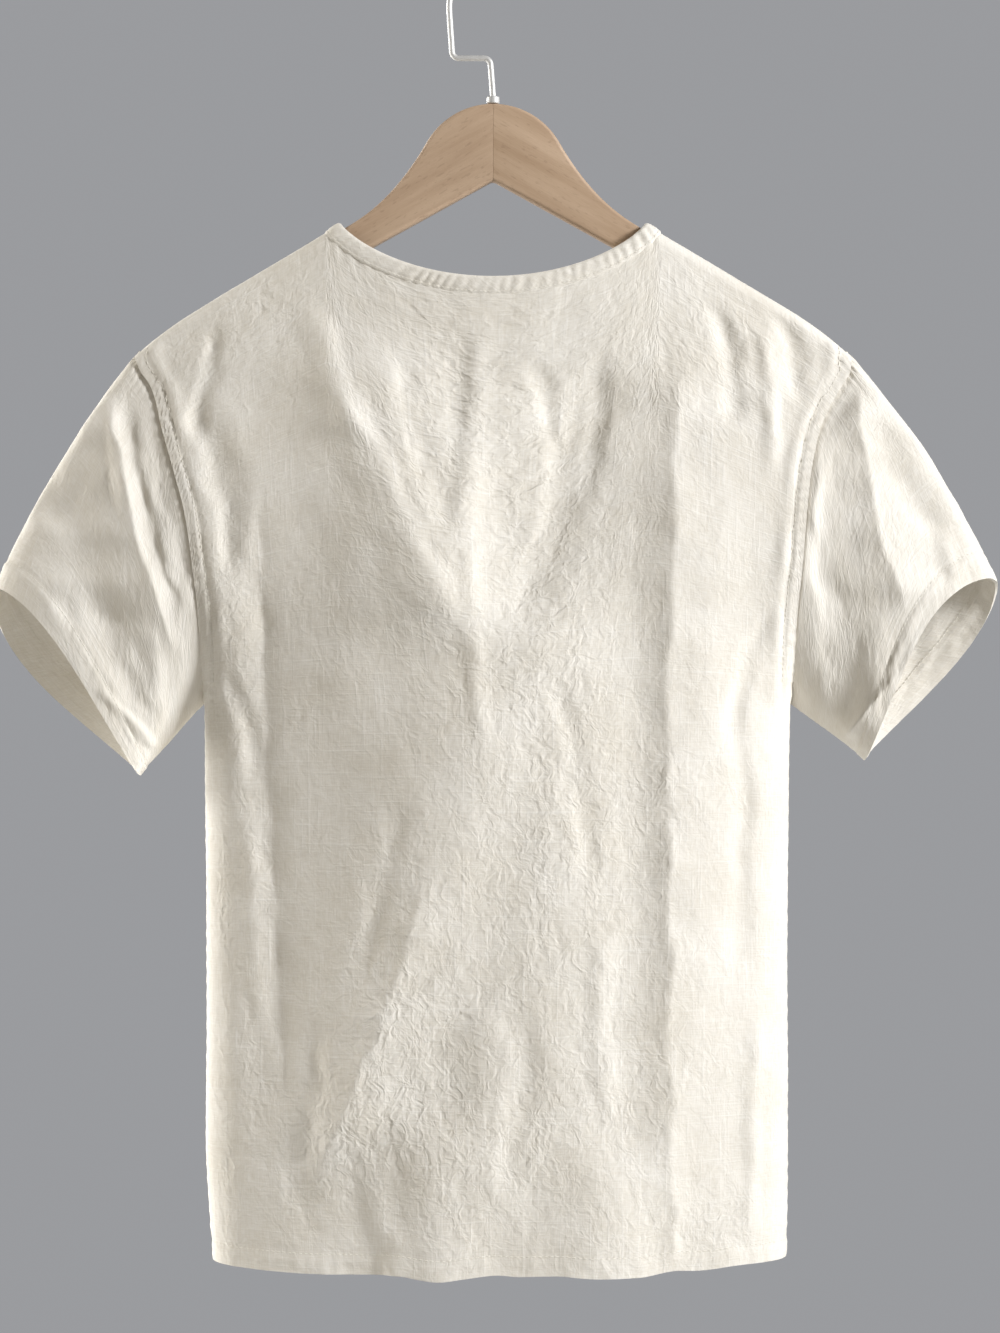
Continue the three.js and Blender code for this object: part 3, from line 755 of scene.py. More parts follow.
class NodeTree:
    """The nodes of a material or of the world."""

    def __init__(self, owner: Any) -> None:
        """Starts with no node.

        Args:
            owner: The material or the world.
        """
        owner.use_nodes = True
        self.owner = owner
        self.nodes = owner.node_tree.nodes
        self.links = owner.node_tree.links
        self.nodes.clear()

    def node(
        self, kind: str, settings: dict[str, Any], inputs: dict[Any, Any], output: Any = 0
    ) -> Value:
        """Adds any node.

        Args:
            kind: The node's type.
            settings: Its own settings, which are set first.
            inputs: Values or links of its sockets, by name or number.
            output: The socket that is wanted from it.

        Returns:
            That socket.
        """
        made = self.nodes.new(kind)
        for name, value in settings.items():
            setattr(made, name, value)
        for key, value in inputs.items():
            if isinstance(value, Value):
                self.links.new(value.socket, made.inputs[key])
            else:
                made.inputs[key].default_value = value
        return Value(self, made.outputs[output])

    def place(self) -> Value:
        """The piece's own coordinates, in metres."""
        return self.node("ShaderNodeTexCoord", {}, {}, "Object")

    def grain(
        self, source: Value, scale: Any, detail: float, rough: float = 0.5, turn: float = 0
    ) -> Value:
        """Noise over coordinates.

        Args:
            source: The coordinates.
            scale: Its scale, or three of them for noise that is stretched.
            detail: Its detail.
            rough: Its roughness.
            turn: How far stretched noise is turned about Z, in degrees.

        Returns:
            The noise.
        """
        if isinstance(scale, tuple):
            inputs = {"Vector": source, "Rotation": (0, 0, math.radians(turn)), "Scale": scale}
            source, scale = self.node("ShaderNodeMapping", {"vector_type": "POINT"}, inputs), 1
        inputs = {"Vector": source, "Scale": scale, "Detail": detail, "Roughness": rough}
        return self.node("ShaderNodeTexNoise", {}, inputs)

    def blend(self, factor: Value, first: Any, second: Any) -> Value:
        """A colour between two colours.

        Args:
            factor: The share of the second.
            first: A colour or a link to one.
            second: Another.

        Returns:
            The colour.
        """
        return self.node(
            "ShaderNodeMix", {"data_type": "RGBA"}, {0: factor, 6: first, 7: second}, 2
        )

    def close(self, shader: dict[str, Any], height: Value | None) -> bpy.types.Material:
        """Ends the material in its shader.

        Args:
            shader: Values or links of the shader's sockets.
            height: The surface's relief in metres, or None.

        Returns:
            The material.
        """
        inputs = dict(shader)
        if height is not None:
            bump = {"Strength": 1.0, "Distance": 1.0, "Height": height}
            inputs["Normal"] = self.node("ShaderNodeBump", {}, bump)
        surface = self.node("ShaderNodeBsdfPrincipled", {}, inputs)
        return self.end("ShaderNodeOutputMaterial", surface)

    def end(self, kind: str, surface: Value) -> Any:
        """Ends the tree in its output node.

        Args:
            kind: The node's type.
            surface: The shader that it gets.

        Returns:
            The material or the world.
        """
        self.links.new(surface.socket, self.nodes.new(kind).inputs["Surface"])
        return self.owner


@dataclass(frozen=True)
class Linen:
    """Washed slub linen."""

    name: str = "linen"
    light: Colour = (0.87, 0.842, 0.785, 1)
    shade: Colour = (0.72, 0.672, 0.58, 1)
    thread: float = 0.00006
    slub: float = 0.00008
    creases: float = 0.00034

    def material(self) -> bpy.types.Material:
        """Builds the material, on the flat cut's own coordinates in metres.

        Returns:
            The material.
        """
        tree = NodeTree(bpy.data.materials.new(self.name))
        flat = tree.node("ShaderNodeUVMap", {}, {})
        rumple = tree.node("ShaderNodeAttribute", {"attribute_name": "rumple"}, {}, "Fac")
        # The weave: even threads both ways, with slubs along some of them.
        warp = tree.grain(flat, (1150, 105, 1), 3, 0.6)
        weft = tree.grain(flat, (105, 1150, 1), 3, 0.6)
        warp_slub = tree.grain(flat, (420, 17, 1), 2)
        weft_slub = tree.grain(flat, (17, 420, 1), 2)
        cloud = tree.grain(flat, 21, 3)
        # Creases too fine for the mesh, in four sizes, on coordinates that wander.
        shift = tree.node("ShaderNodeTexNoise", {}, {"Vector": flat, "Scale": 60.0}, 1)
        bent = tree.node(
            "ShaderNodeVectorMath", {"operation": "MULTIPLY_ADD"},
            {0: shift, 1: (0.016, 0.016, 0), 2: flat},
        )
        height = (warp + weft) * self.thread
        height = height + (warp_slub.rise(0.52, 0.78) + weft_slub.rise(0.52, 0.78)) * self.slub
        for across, up, turn, share in (
            (105, 70, 15, 1.0), (130, 150, -35, 0.7), (230, 170, 50, 0.45), (340, 260, 0, 0.22),
        ):
            ridge = tree.grain(bent, (across, up, 1), 1, turn=turn)
            facet = 1 - (ridge - 0.5).size() * 5
            height = height + facet * rumple * (self.creases * share)
        # Paler on the threads and the slubs, and cloudy over the cloth.
        tone = (
            warp * 0.55 + weft * 0.55 + cloud * 0.5
            + (warp_slub.rise(0.55, 0.8) + weft_slub.rise(0.55, 0.8)) * 0.14
        )
        colour = tree.blend(tone.rise(0.45, 1.15), self.shade, self.light)
        rough = 0.86 + warp_slub * 0.1
        return tree.close(
            {"Base Color": colour, "Roughness": rough, "Sheen Weight": 0.1,
             "Sheen Roughness": 0.5, "Specular IOR Level": 0.2},
            height,
        )


@dataclass(frozen=True)
class SewingThread:
    """Cotton thread in the linen's own colour."""

    name: str = "sewing_thread"
    light: Colour = (0.87, 0.84, 0.76, 1)
    shade: Colour = (0.74, 0.70, 0.61, 1)

    def material(self) -> bpy.types.Material:
        """Builds the material.

        Returns:
            The material.
        """
        tree = NodeTree(bpy.data.materials.new(self.name))
        place = tree.place()
        twist = tree.grain(place, 1400, 2)
        colour = tree.blend(twist.rise(0.3, 0.7), self.shade, self.light)
        return tree.close({"Base Color": colour, "Roughness": 0.7}, twist * 0.00005)


@dataclass(frozen=True)
class Beech:
    """Beech under a thin satin varnish, in two boards that meet at the middle; the right board is
    coloured darker, a painted shade against the key light on that side.
    """

    name: str = "beech"
    slope: float = 30.0
    left: Colour = (0.44, 0.30, 0.195, 1)
    # The right board's darker colour is painted shade, which evens out the key light from the
    # right.
    right: Colour = (0.42, 0.285, 0.18, 1)
    pale: Colour = (0.57, 0.415, 0.285, 1)
    joint: Colour = (0.20, 0.12, 0.07, 1)

    def material(self) -> bpy.types.Material:
        """Builds the material.

        Returns:
            The material.
        """
        tree = NodeTree(bpy.data.materials.new(self.name))
        place = tree.place()
        x = tree.node("ShaderNodeSeparateXYZ", {}, {"Vector": place})
        y, z = (Value(tree, x.socket.node.outputs[axis]) for axis in "YZ")
        # Each board's grain runs down along its own arm.
        side = x.size()
        cosine, sine = math.cos(math.radians(self.slope)), math.sin(math.radians(self.slope))
        along = side * cosine - z * sine
        across = side * sine + z * cosine
        offset = x.above(0) * 0.37
        board = tree.node("ShaderNodeCombineXYZ", {}, {"X": along + offset, "Y": across, "Z": y})
        rings = tree.grain(board, (9, 95, 60), 3, 0.55)
        pores = tree.grain(board, (90, 1300, 1300), 2, 0.6)
        flecks = tree.grain(board, (170, 620, 500), 1)
        # The rings give the tone, and short dark flecks and pores lie over them.
        tone = rings * 0.8 + pores * 0.25
        # The two boards' beech tones; the right one is darker and turns pale later, a painted shade
        # against the key light on that side.
        left = tree.blend(tone.rise(0.26, 0.74), self.left, self.pale)
        right = tree.blend(tone.rise(0.3, 0.84), self.right, self.pale)
        boards = tree.blend(x.above(0.0), left, right)
        dark = flecks.rise(0.62, 0.72) * 0.22 + pores.rise(0.58, 0.75) * 0.14
        flecked = tree.blend(dark, boards, self.joint)
        # The glue line in the middle.
        line = 1 - side.rise(0.00015, 0.0006)
        colour = tree.blend(line * 0.26, flecked, self.joint)
        relief = pores * 0.00006 + rings * 0.00005 - line * 0.00006
        rough = 0.42 + rings * 0.14
        return tree.close(
            {"Base Color": colour, "Roughness": rough, "Coat Weight": 0.22, "Coat Roughness": 0.3},
            relief,
        )


@dataclass(frozen=True)
class Chrome:
    """Bright plating on bent wire, with fine draw marks."""

    name: str = "chrome_wire"
    bright: Colour = (0.68, 0.67, 0.645, 1)
    dull: Colour = (0.58, 0.57, 0.55, 1)

    def material(self) -> bpy.types.Material:
        """Builds the material.

        Returns:
            The material.
        """
        tree = NodeTree(bpy.data.materials.new(self.name))
        place = tree.place()
        marks = tree.grain(place, (900, 900, 60), 2)
        wear = tree.grain(place, 90, 3)
        colour = tree.blend(wear.rise(0.4, 0.7), self.bright, self.dull)
        rough = 0.44 + wear * 0.12 + marks * 0.05
        return tree.close({"Base Color": colour, "Roughness": rough, "Metallic": 0.45}, None)


# The blouse


class Face(Enum):
    """A face of the blouse, with the side of the middle plane that it lies on."""

    BACK = -1
    FRONT = 1


@dataclass
class Form:
    """The blouse's form, in the same sizes as its solids."""

    oval_power: float = 2.6
    ridge_radius: float = 10.0
    ridge_ease: float = 62.0
    ridge_round: float = 12.0
    fold_fade: float = 36.0
    fold_stop: float = 42.0
    neck_drop: dict[Face, float] = field(
        default_factory=lambda: {Face.BACK: 38.8, Face.FRONT: 96.0}
    )
    neck_power: dict[Face, float] = field(
        default_factory=lambda: {Face.BACK: 1.5, Face.FRONT: 1.15}
    )

    def oval(self, share: Array) -> Array:
        """How far one side of the oval stands out at a share of its half width."""
        inside = 1 - np.minimum(1, np.abs(share)) ** self.oval_power
        return inside ** (1 / self.oval_power)

    def column_share(self, u: Array) -> Array:
        """Column shares from -1 to 1, as shares of the half width, evenly along the cloth.

        Args:
            u: Shares of the way along the cloth, from -1 to 1.

        Returns:
            Shares of the half width.
        """
        steps = np.linspace(0, 1, 401)
        x = np.sin(steps * np.pi / 2) ** (2 / self.oval_power)
        across = np.diff(x) * SECTIONS[-1].left
        out = np.diff(self.oval(x)) * SECTIONS[-1].back
        arc = np.concatenate([[0], np.cumsum(np.hypot(across, out))])
        return np.sign(u) * np.interp(np.abs(u) * arc[-1], arc, x)

    def ridge(self, x: Array) -> Array:
        """The height of the shoulder line."""
        shift = math.hypot(NECK_HALF, self.ridge_round) - NECK_HALF
        return table_value(RIDGE, "x", "z", np.hypot(x, self.ridge_round) - shift)

    def reach(self, rows: Sequence[Any], x: Array, z: Array) -> Array:
        """How far the cloth reaches to the side that x is on."""
        left = table_value(rows, "z", "left", z)
        return np.where(x < 0, left, table_value(rows, "z", "right", z))

    def upper_depth(self, face: Face, x: Array, z: Array) -> Array:
        """How far a face stands out above the underarm, without its folds.

        Args:
            face: The face.
            x: Places across, in millimetres.
            z: Their heights.

        Returns:
            How far it stands out at each place.
        """
        depth = table_value(ARMHOLES, "z", face.name.lower(), z)
        edge_x = self.reach(ARMHOLES, x, z)
        edge_y = np.minimum(table_value(ARMHOLES, "z", "edge_y", z), depth)
        full_x = edge_x / self.oval(edge_y / depth)
        drop = np.maximum(0, self.ridge(x) - z)
        over = np.clip(1 - drop / self.ridge_radius, 0, 1)
        over_arm = self.ridge_radius * np.sqrt(1 - over**2)
        body = depth * self.oval(x / full_x)
        eased = 1 - np.exp(-drop / self.ridge_ease)
        full = over_arm + (body - self.ridge_radius) * eased
        return np.where(body > self.ridge_radius, full, np.minimum(over_arm, body))

    def folds(self, face: Face, x: Array, z: Array, edge_x: Array) -> Array:
        """The folds that the solids have too.

        Args:
            face: The face.
            x: Places across, in millimetres.
            z: Their heights.
            edge_x: How far the cloth reaches at each height.

        Returns:
            How far they stand out at each place.
        """
        rows = BACK_FOLDS if face is Face.BACK else FRONT_FOLDS
        inside = (np.abs(x) - edge_x) / self.fold_fade + self.fold_stop / self.fold_fade
        side = 1 - smooth(inside, 0, 1)
        top = smooth(self.ridge(x) - z, 8, 60)
        return crease_height(rows, x, z) * side * top

    def neck_edge(self, face: Face, angle: Array, out: Any) -> tuple[Array, Array]:
        """The neck line at an angle from the face's middle, out from the band's top edge.

        Args:
            face: The face.
            angle: The angle, in radians.
            out: The distance from the band's top edge, in millimetres.

        Returns:
            The line's places across and their heights.
        """
        share = out / BAND_WIDTH
        half = NECK_HALF + BAND_LEVEL * share
        top = NECK_POINT_Z - BAND_LEVEL * share * SHOULDER_SLOPE
        drop = self.neck_drop[face] + (BAND_WIDTH - BAND_LEVEL * SHOULDER_SLOPE) * share
        return half * np.sin(angle), top - drop * np.abs(np.cos(angle)) ** self.neck_power[face]

    def upper_point(self, face: Face, x: Array, z: Array) -> Array:
        """Points of a face above the underarm."""
        out = self.upper_depth(face, x, z) + self.folds(face, x, z, self.reach(ARMHOLES, x, z))
        return np.stack([x, face.value * out, z], -1)


@dataclass
class Cloth:
    """A sewn piece: its names, how its cut is stated, the form it lies on and its crumple."""

    name: str
    node: str
    cut: dict[str, Any]
    form: Form
    crumple: Crumple

    def build(self) -> Sewn:
        """Makes the cloth and the stitches on it."""
        raise NotImplementedError


@dataclass
class Panel(Cloth):
    """The back or the front: a sheet from the hem to the shoulders."""

    face: Face
    creases: Sequence[Crease]
    columns: int = 212
    lower_rows: int = 118
    upper_rows: int = 98
    row_crowding: float = 1.35
    neck_share: float = 0.5
    neck_crowding: float = 1.3
    edge_power: float = 5.0
    hem_width: float = 12.0
    neck_gap: float = 0.3
    hem_sag: float = 130.0
    allowance: float = 6.6
    overlap: float = 0.9
    flat_half: float = 218.0
    side_way: float = 215.0
    arm_lean: float = 0.95
    slope_lean: float = 0.86

    def _lower(self, u: Array) -> Array:
        """The rows from the hem to the underarm.

        Args:
            u: Column shares.

        Returns:
            The points, rows by columns by 3.
        """
        z = np.linspace(HEM_Z, UNDERARM_Z, self.lower_rows + 1)[:, None] + 0 * u
        half = self.form.reach(SECTIONS, u + 0 * z, z)
        depth = table_value(SECTIONS, "z", self.face.name.lower(), z)
        share = self.form.column_share(u)
        x = half * share
        out = depth * self.form.oval(share) + self.form.folds(self.face, x, z, half)
        return np.stack([x, self.face.value * out, z], -1)

    def _top(self, u: Array) -> tuple[Array, Array]:
        """Where the columns end: on the neck line, or on the shoulder line.

        Args:
            u: Column shares.

        Returns:
            The ends' places across and their heights.
        """
        share = np.clip(u / self.neck_share, -1, 1)
        turn = 1 - (1 - np.abs(share)) ** self.neck_crowding
        neck_x, neck_z = self.form.neck_edge(
            self.face, np.sign(share) * turn * np.pi / 2, BAND_WIDTH + self.neck_gap
        )
        outside = np.abs(u) > self.neck_share
        ridge_share = (np.abs(u) - self.neck_share) / (1 - self.neck_share)
        ridge_x = np.sign(u) * mix(np.abs(neck_x), TIP_X, np.clip(ridge_share, 0, 1))
        x = np.where(outside, ridge_x, neck_x)
        return x, np.where(outside, self.form.ridge(x), neck_z)

    def _upper(self, u: Array) -> Array:
        """The rows from the underarm to the shoulders.

        Args:
            u: Column shares.

        Returns:
            The points, rows by columns by 3.
        """
        top_x, top_z = self._top(u)
        below = ((1 - np.linspace(0, 1, self.upper_rows + 1)[1:]) ** self.row_crowding)[:, None]
        z = mix(top_z, UNDERARM_Z, below)
        foot = self.form.reach(SECTIONS, u, np.full_like(u, UNDERARM_Z))
        straight = mix(top_x, foot * self.form.column_share(u), below)
        side_z = mix(RIDGE[-1].z, UNDERARM_Z, below) + 0 * u
        shift = self.form.reach(ARMHOLES, u + 0 * side_z, side_z) - mix(TIP_X, foot, below)
        x = straight + np.sign(u) * np.abs(u) ** self.edge_power * shift
        return self.form.upper_point(self.face, x, z)

    def _sewing(self, points: Array, u: Array) -> Array:
        """What the seams do to the cloth beside them: the allowance, the stitches' pull.

        Args:
            points: The panel's points.
            u: Their column shares.

        Returns:
            How far each point stands out.
        """
        x, z = points[..., 0], points[..., 2]
        form = self.form
        upper = z > UNDERARM_Z
        seed = self.crumple.seed + 40
        to_arm = np.where(upper, form.reach(ARMHOLES, x, z) - np.abs(x), FAR)
        to_arm = np.where(np.abs(u) + 0 * x > 0.4, to_arm * self.arm_lean, FAR)
        angle = np.arcsin(np.clip(x / (NECK_HALF + BAND_LEVEL), -1, 1))
        neck_z = form.neck_edge(self.face, angle, BAND_WIDTH)[1]
        to_neck = (neck_z - z) * self.slope_lean
        to_neck = np.where(np.abs(x) < NECK_HALF + BAND_LEVEL, to_neck, FAR)
        to_hem = z - HEM_Z
        to_ridge = np.where(np.abs(x) > NECK_HALF, (form.ridge(x) - z) * self.slope_lean, FAR)
        to_side = np.where(upper, FAR, (1 - np.abs(u)) * self.side_way + 0 * x)
        patchy = 0.55 + 0.9 * smooth(noise(x / 23, z / 23, seed), -0.4, 0.5)
        # Beside the armhole: the allowance under the cloth, the stitches' groove, and their pull.
        height = 1 - smooth(to_arm, self.allowance - 0.6, self.allowance + 1.2)
        height -= 0.9 * hill(to_arm - self.allowance, 1.2) * patchy
        height += 1.2 * patchy * hill(to_arm - self.allowance - 5.5, 4.6)
        pucker = wave(z / 7.4 + to_arm / 13 + noise(x / 19, z / 19, seed + 3))
        height += 0.6 * patchy * pucker * hill(to_arm - 4.0, 4.6)
        height *= smooth(form.ridge(x) - z, 0, 9)
        # At the hem: its second layer, the groove, and the roping of the turned cloth.
        height += 0.46 * (1 - smooth(to_hem, self.hem_width - 0.6, self.hem_width + 1.0))
        height -= 0.60 * hill(to_hem - self.hem_width, 1.3) * patchy
        rope = wave(x / 9.5 + 1.6 * noise(x / 40, z / 40, seed + 1) + to_hem / 26)
        hemmed = hill(to_hem - 6, 8.5)
        height += hemmed * (0.12 * patchy * rope + 1.3 * noise(x / 15, z / 8, seed + 4))
        # At the neck, the shoulders and the sides.
        pull = wave(x / 8.2 + 1.3 * noise(x / 30, z / 30, seed + 2))
        height += 0.26 * patchy * pull * hill(to_neck, 9.0)
        height -= 0.55 * hill(to_side, 1.6) + 0.5 * hill(to_ridge, 1.5)
        height += 0.3 * wave(z / 10.5) * patchy * hill(to_side, 7)
        return height

    def surface(self) -> tuple[Array, Array]:
        """The outside of the cloth.

        Returns:
            The points in millimetres, rows by columns by 3, and their column shares.
        """
        # The columns run so that the outside is outside.
        u = -self.face.value * np.linspace(-1, 1, self.columns + 1)
        plain = np.concatenate([self._lower(u), self._upper(u)])
        x, z = plain[..., 0], plain[..., 2]
        normals = grid_normals(plain, False)
        edge = self.form.reach(ARMHOLES, x, np.maximum(z, UNDERARM_Z))
        edge = np.where(z < UNDERARM_Z, self.form.reach(SECTIONS, x, z), edge)
        inside = edge - np.abs(x)
        calm = smooth(inside, 2, 22) * smooth(self.form.ridge(x) - z, 2, 20)
        height = crease_height(self.creases, x, z, WANDER) * calm
        height += self.crumple.height(x, z) * mix(0.35, 1, calm)
        height += self._sewing(plain, u)
        points = plain + normals * height[..., None]
        points[..., 1] = self.face.value * np.maximum(self.face.value * points[..., 1], 0.02)
        drop = table_value(HEM_DROPS, "x", "drop", x)
        points[..., 2] -= drop * np.clip(1 - (z - HEM_Z) / self.hem_sag, 0, 1) ** 2
        wide = self.overlap * smooth(z, UNDERARM_Z + 4, UNDERARM_Z + 16)
        points[..., 0] += np.sign(u) * np.abs(u) ** 60 * wide
        return points, u

    def build(self) -> Sewn:
        """Makes the panel and its rows of stitches.

        Returns:
            The cloth, and the stitches on it.
        """
        points, u = self.surface()
        rows = len(points)
        up = way_along(points[:, self.columns // 4])
        across = -self.face.value * u[None] * self.flat_half
        flat = (across, up[:, None])
        hem = np.zeros((rows, self.columns + 1), bool)
        hem[points[:, self.columns // 2, 2] < HEM_Z + self.hem_width] = True
        rumple = self.crumple.strength(points[..., 0], points[..., 2])
        cloth = cloth_piece(
            self.name, points, flat, thin=0.9, thick=1.7, hem=hem, rumple=rumple
        )
        normals = grid_normals(points, False)
        stitches = [self._hem_stitches(points, normals)]
        stitches += [self._arm_stitches(points, normals, side) for side in (-1, 1)]
        return cloth, stitches

    def _hem_stitches(self, points: Array, normals: Array) -> Piece:
        """The row of stitches over the hem."""
        row = int(np.argmin(np.abs(points[:, self.columns // 2, 2] - HEM_Z - self.hem_width)))
        return lay_stitches(f"{self.name}_hem_stitches", points[row, 2:-2], normals[row, 2:-2])

    def _arm_stitches(self, points: Array, normals: Array, side: int) -> Piece:
        """The row of stitches beside an armhole.

        Args:
            points: The panel's points.
            normals: Their normals.
            side: -1 for the left armhole, and 1 for the right.

        Returns:
            The stitches.
        """
        seam = self.allowance / self.arm_lean
        line, out = [], []
        for row in range(self.lower_rows + 4, len(points) - 3):
            x, z = points[row, :, 0], points[row, :, 2]
            away = np.abs(self.form.reach(ARMHOLES, x, z) - side * x - seam)
            column = int(np.argmin(np.where(side * x > 0, away, 999)))
            near = slice(max(0, column - 1), column + 2)
            weight = 1 / (away[near] + 0.05)
            line.append((points[row, near] * weight[:, None]).sum(0) / weight.sum())
            out.append(normals[row, column])
        word = "left" if side < 0 else "right"
        return lay_stitches(f"{self.name}_{word}_stitches", np.array(line), np.array(out))


@dataclass
class NeckBand(Cloth):
    """The bias strip round the neck, with its puckers and its row of stitches."""

    around: int = 480
    across: int = 12
    overlap: float = 1.3
    whole: float = 12.7
    stitch_line: float = 10.2
    bias: float = 0.72
    neck_crowding: float = 1.3

    def surface(self) -> tuple[Array, Array, Array]:
        """The outside of the band.

        Returns:
            The points, the distance out from the top edge, and the way round it.
        """
        turn = np.linspace(-1, 3, self.around + 1)
        back = turn <= 1
        share = np.where(back, turn, 2 - turn)
        angle = np.sign(share) * (1 - (1 - np.abs(share)) ** self.neck_crowding) * np.pi / 2
        out = np.linspace(BAND_WIDTH + self.overlap, 0, self.across + 1)[:, None]
        points = np.empty((self.across + 1, self.around + 1, 3))
        for face in Face:
            x, z = self.form.neck_edge(face, angle, out)
            mine = back if face is Face.BACK else ~back
            points[:, mine] = self.form.upper_point(face, x, z)[:, mine]
        ridge = np.abs(share) > 1 - 1e-9
        points[:, ridge, 1] = 0
        normals = grid_normals(points, True)
        way = way_along(points[self.across // 2])
        # The strip is round at both edges and bulges between them.
        inner = np.clip((BAND_WIDTH + self.overlap - out) / 2.0, 0, 1)
        outer = np.clip(out / 2.6, 0, 1)
        seed = self.crumple.seed
        patch = 0.5 + smooth(noise(way / 26, out / 26, seed), -0.4, 0.4)
        pucker = wave(way / 7.8 + 1.1 * noise(way / 31, 0 * way, seed + 1) + out / 21)
        height = 1.05 * np.sqrt(1 - (1 - inner) ** 2) - 0.25
        height = height + 0.25 * np.sin(np.pi * out / self.whole)
        height = height - 1.3 * (1 - np.sqrt(1 - (1 - outer) ** 2))
        # It puckers, most in the middle, and its stitches lie in a groove.
        bulge = np.sin(np.pi * np.clip(out / self.whole, 0, 1)) ** 0.6
        height = height + 0.34 * patch * pucker * bulge
        height = height - 0.5 * hill(out - self.stitch_line, 0.8)
        height = height + 0.3 * noise(way / 5.5, out / 9, seed + 2)
        return points + normals * height[..., None], out, way

    def build(self) -> Sewn:
        """Makes the band and its stitches.

        Returns:
            The cloth, and the stitches on it.
        """
        points, out, way = self.surface()
        points[:, -1] = points[:, 0]
        along = way[None] * self.bias
        flat = (along - out, along + out)
        hem = np.zeros(points.shape[:2], bool)
        cloth = cloth_piece(
            self.name, points, flat, thin=1.3, thick=1.4, hem=hem,
            rumple=np.full(hem.shape, 0.3), closed=True,
        )
        normals = grid_normals(points, True)
        row = int(np.argmin(np.abs(out[:, 0] - self.stitch_line)))
        stitches = lay_stitches(
            "neck_stitches", points[row], normals[row], length=2.4, gap=0.8, width=0.5
        )
        return cloth, [stitches]


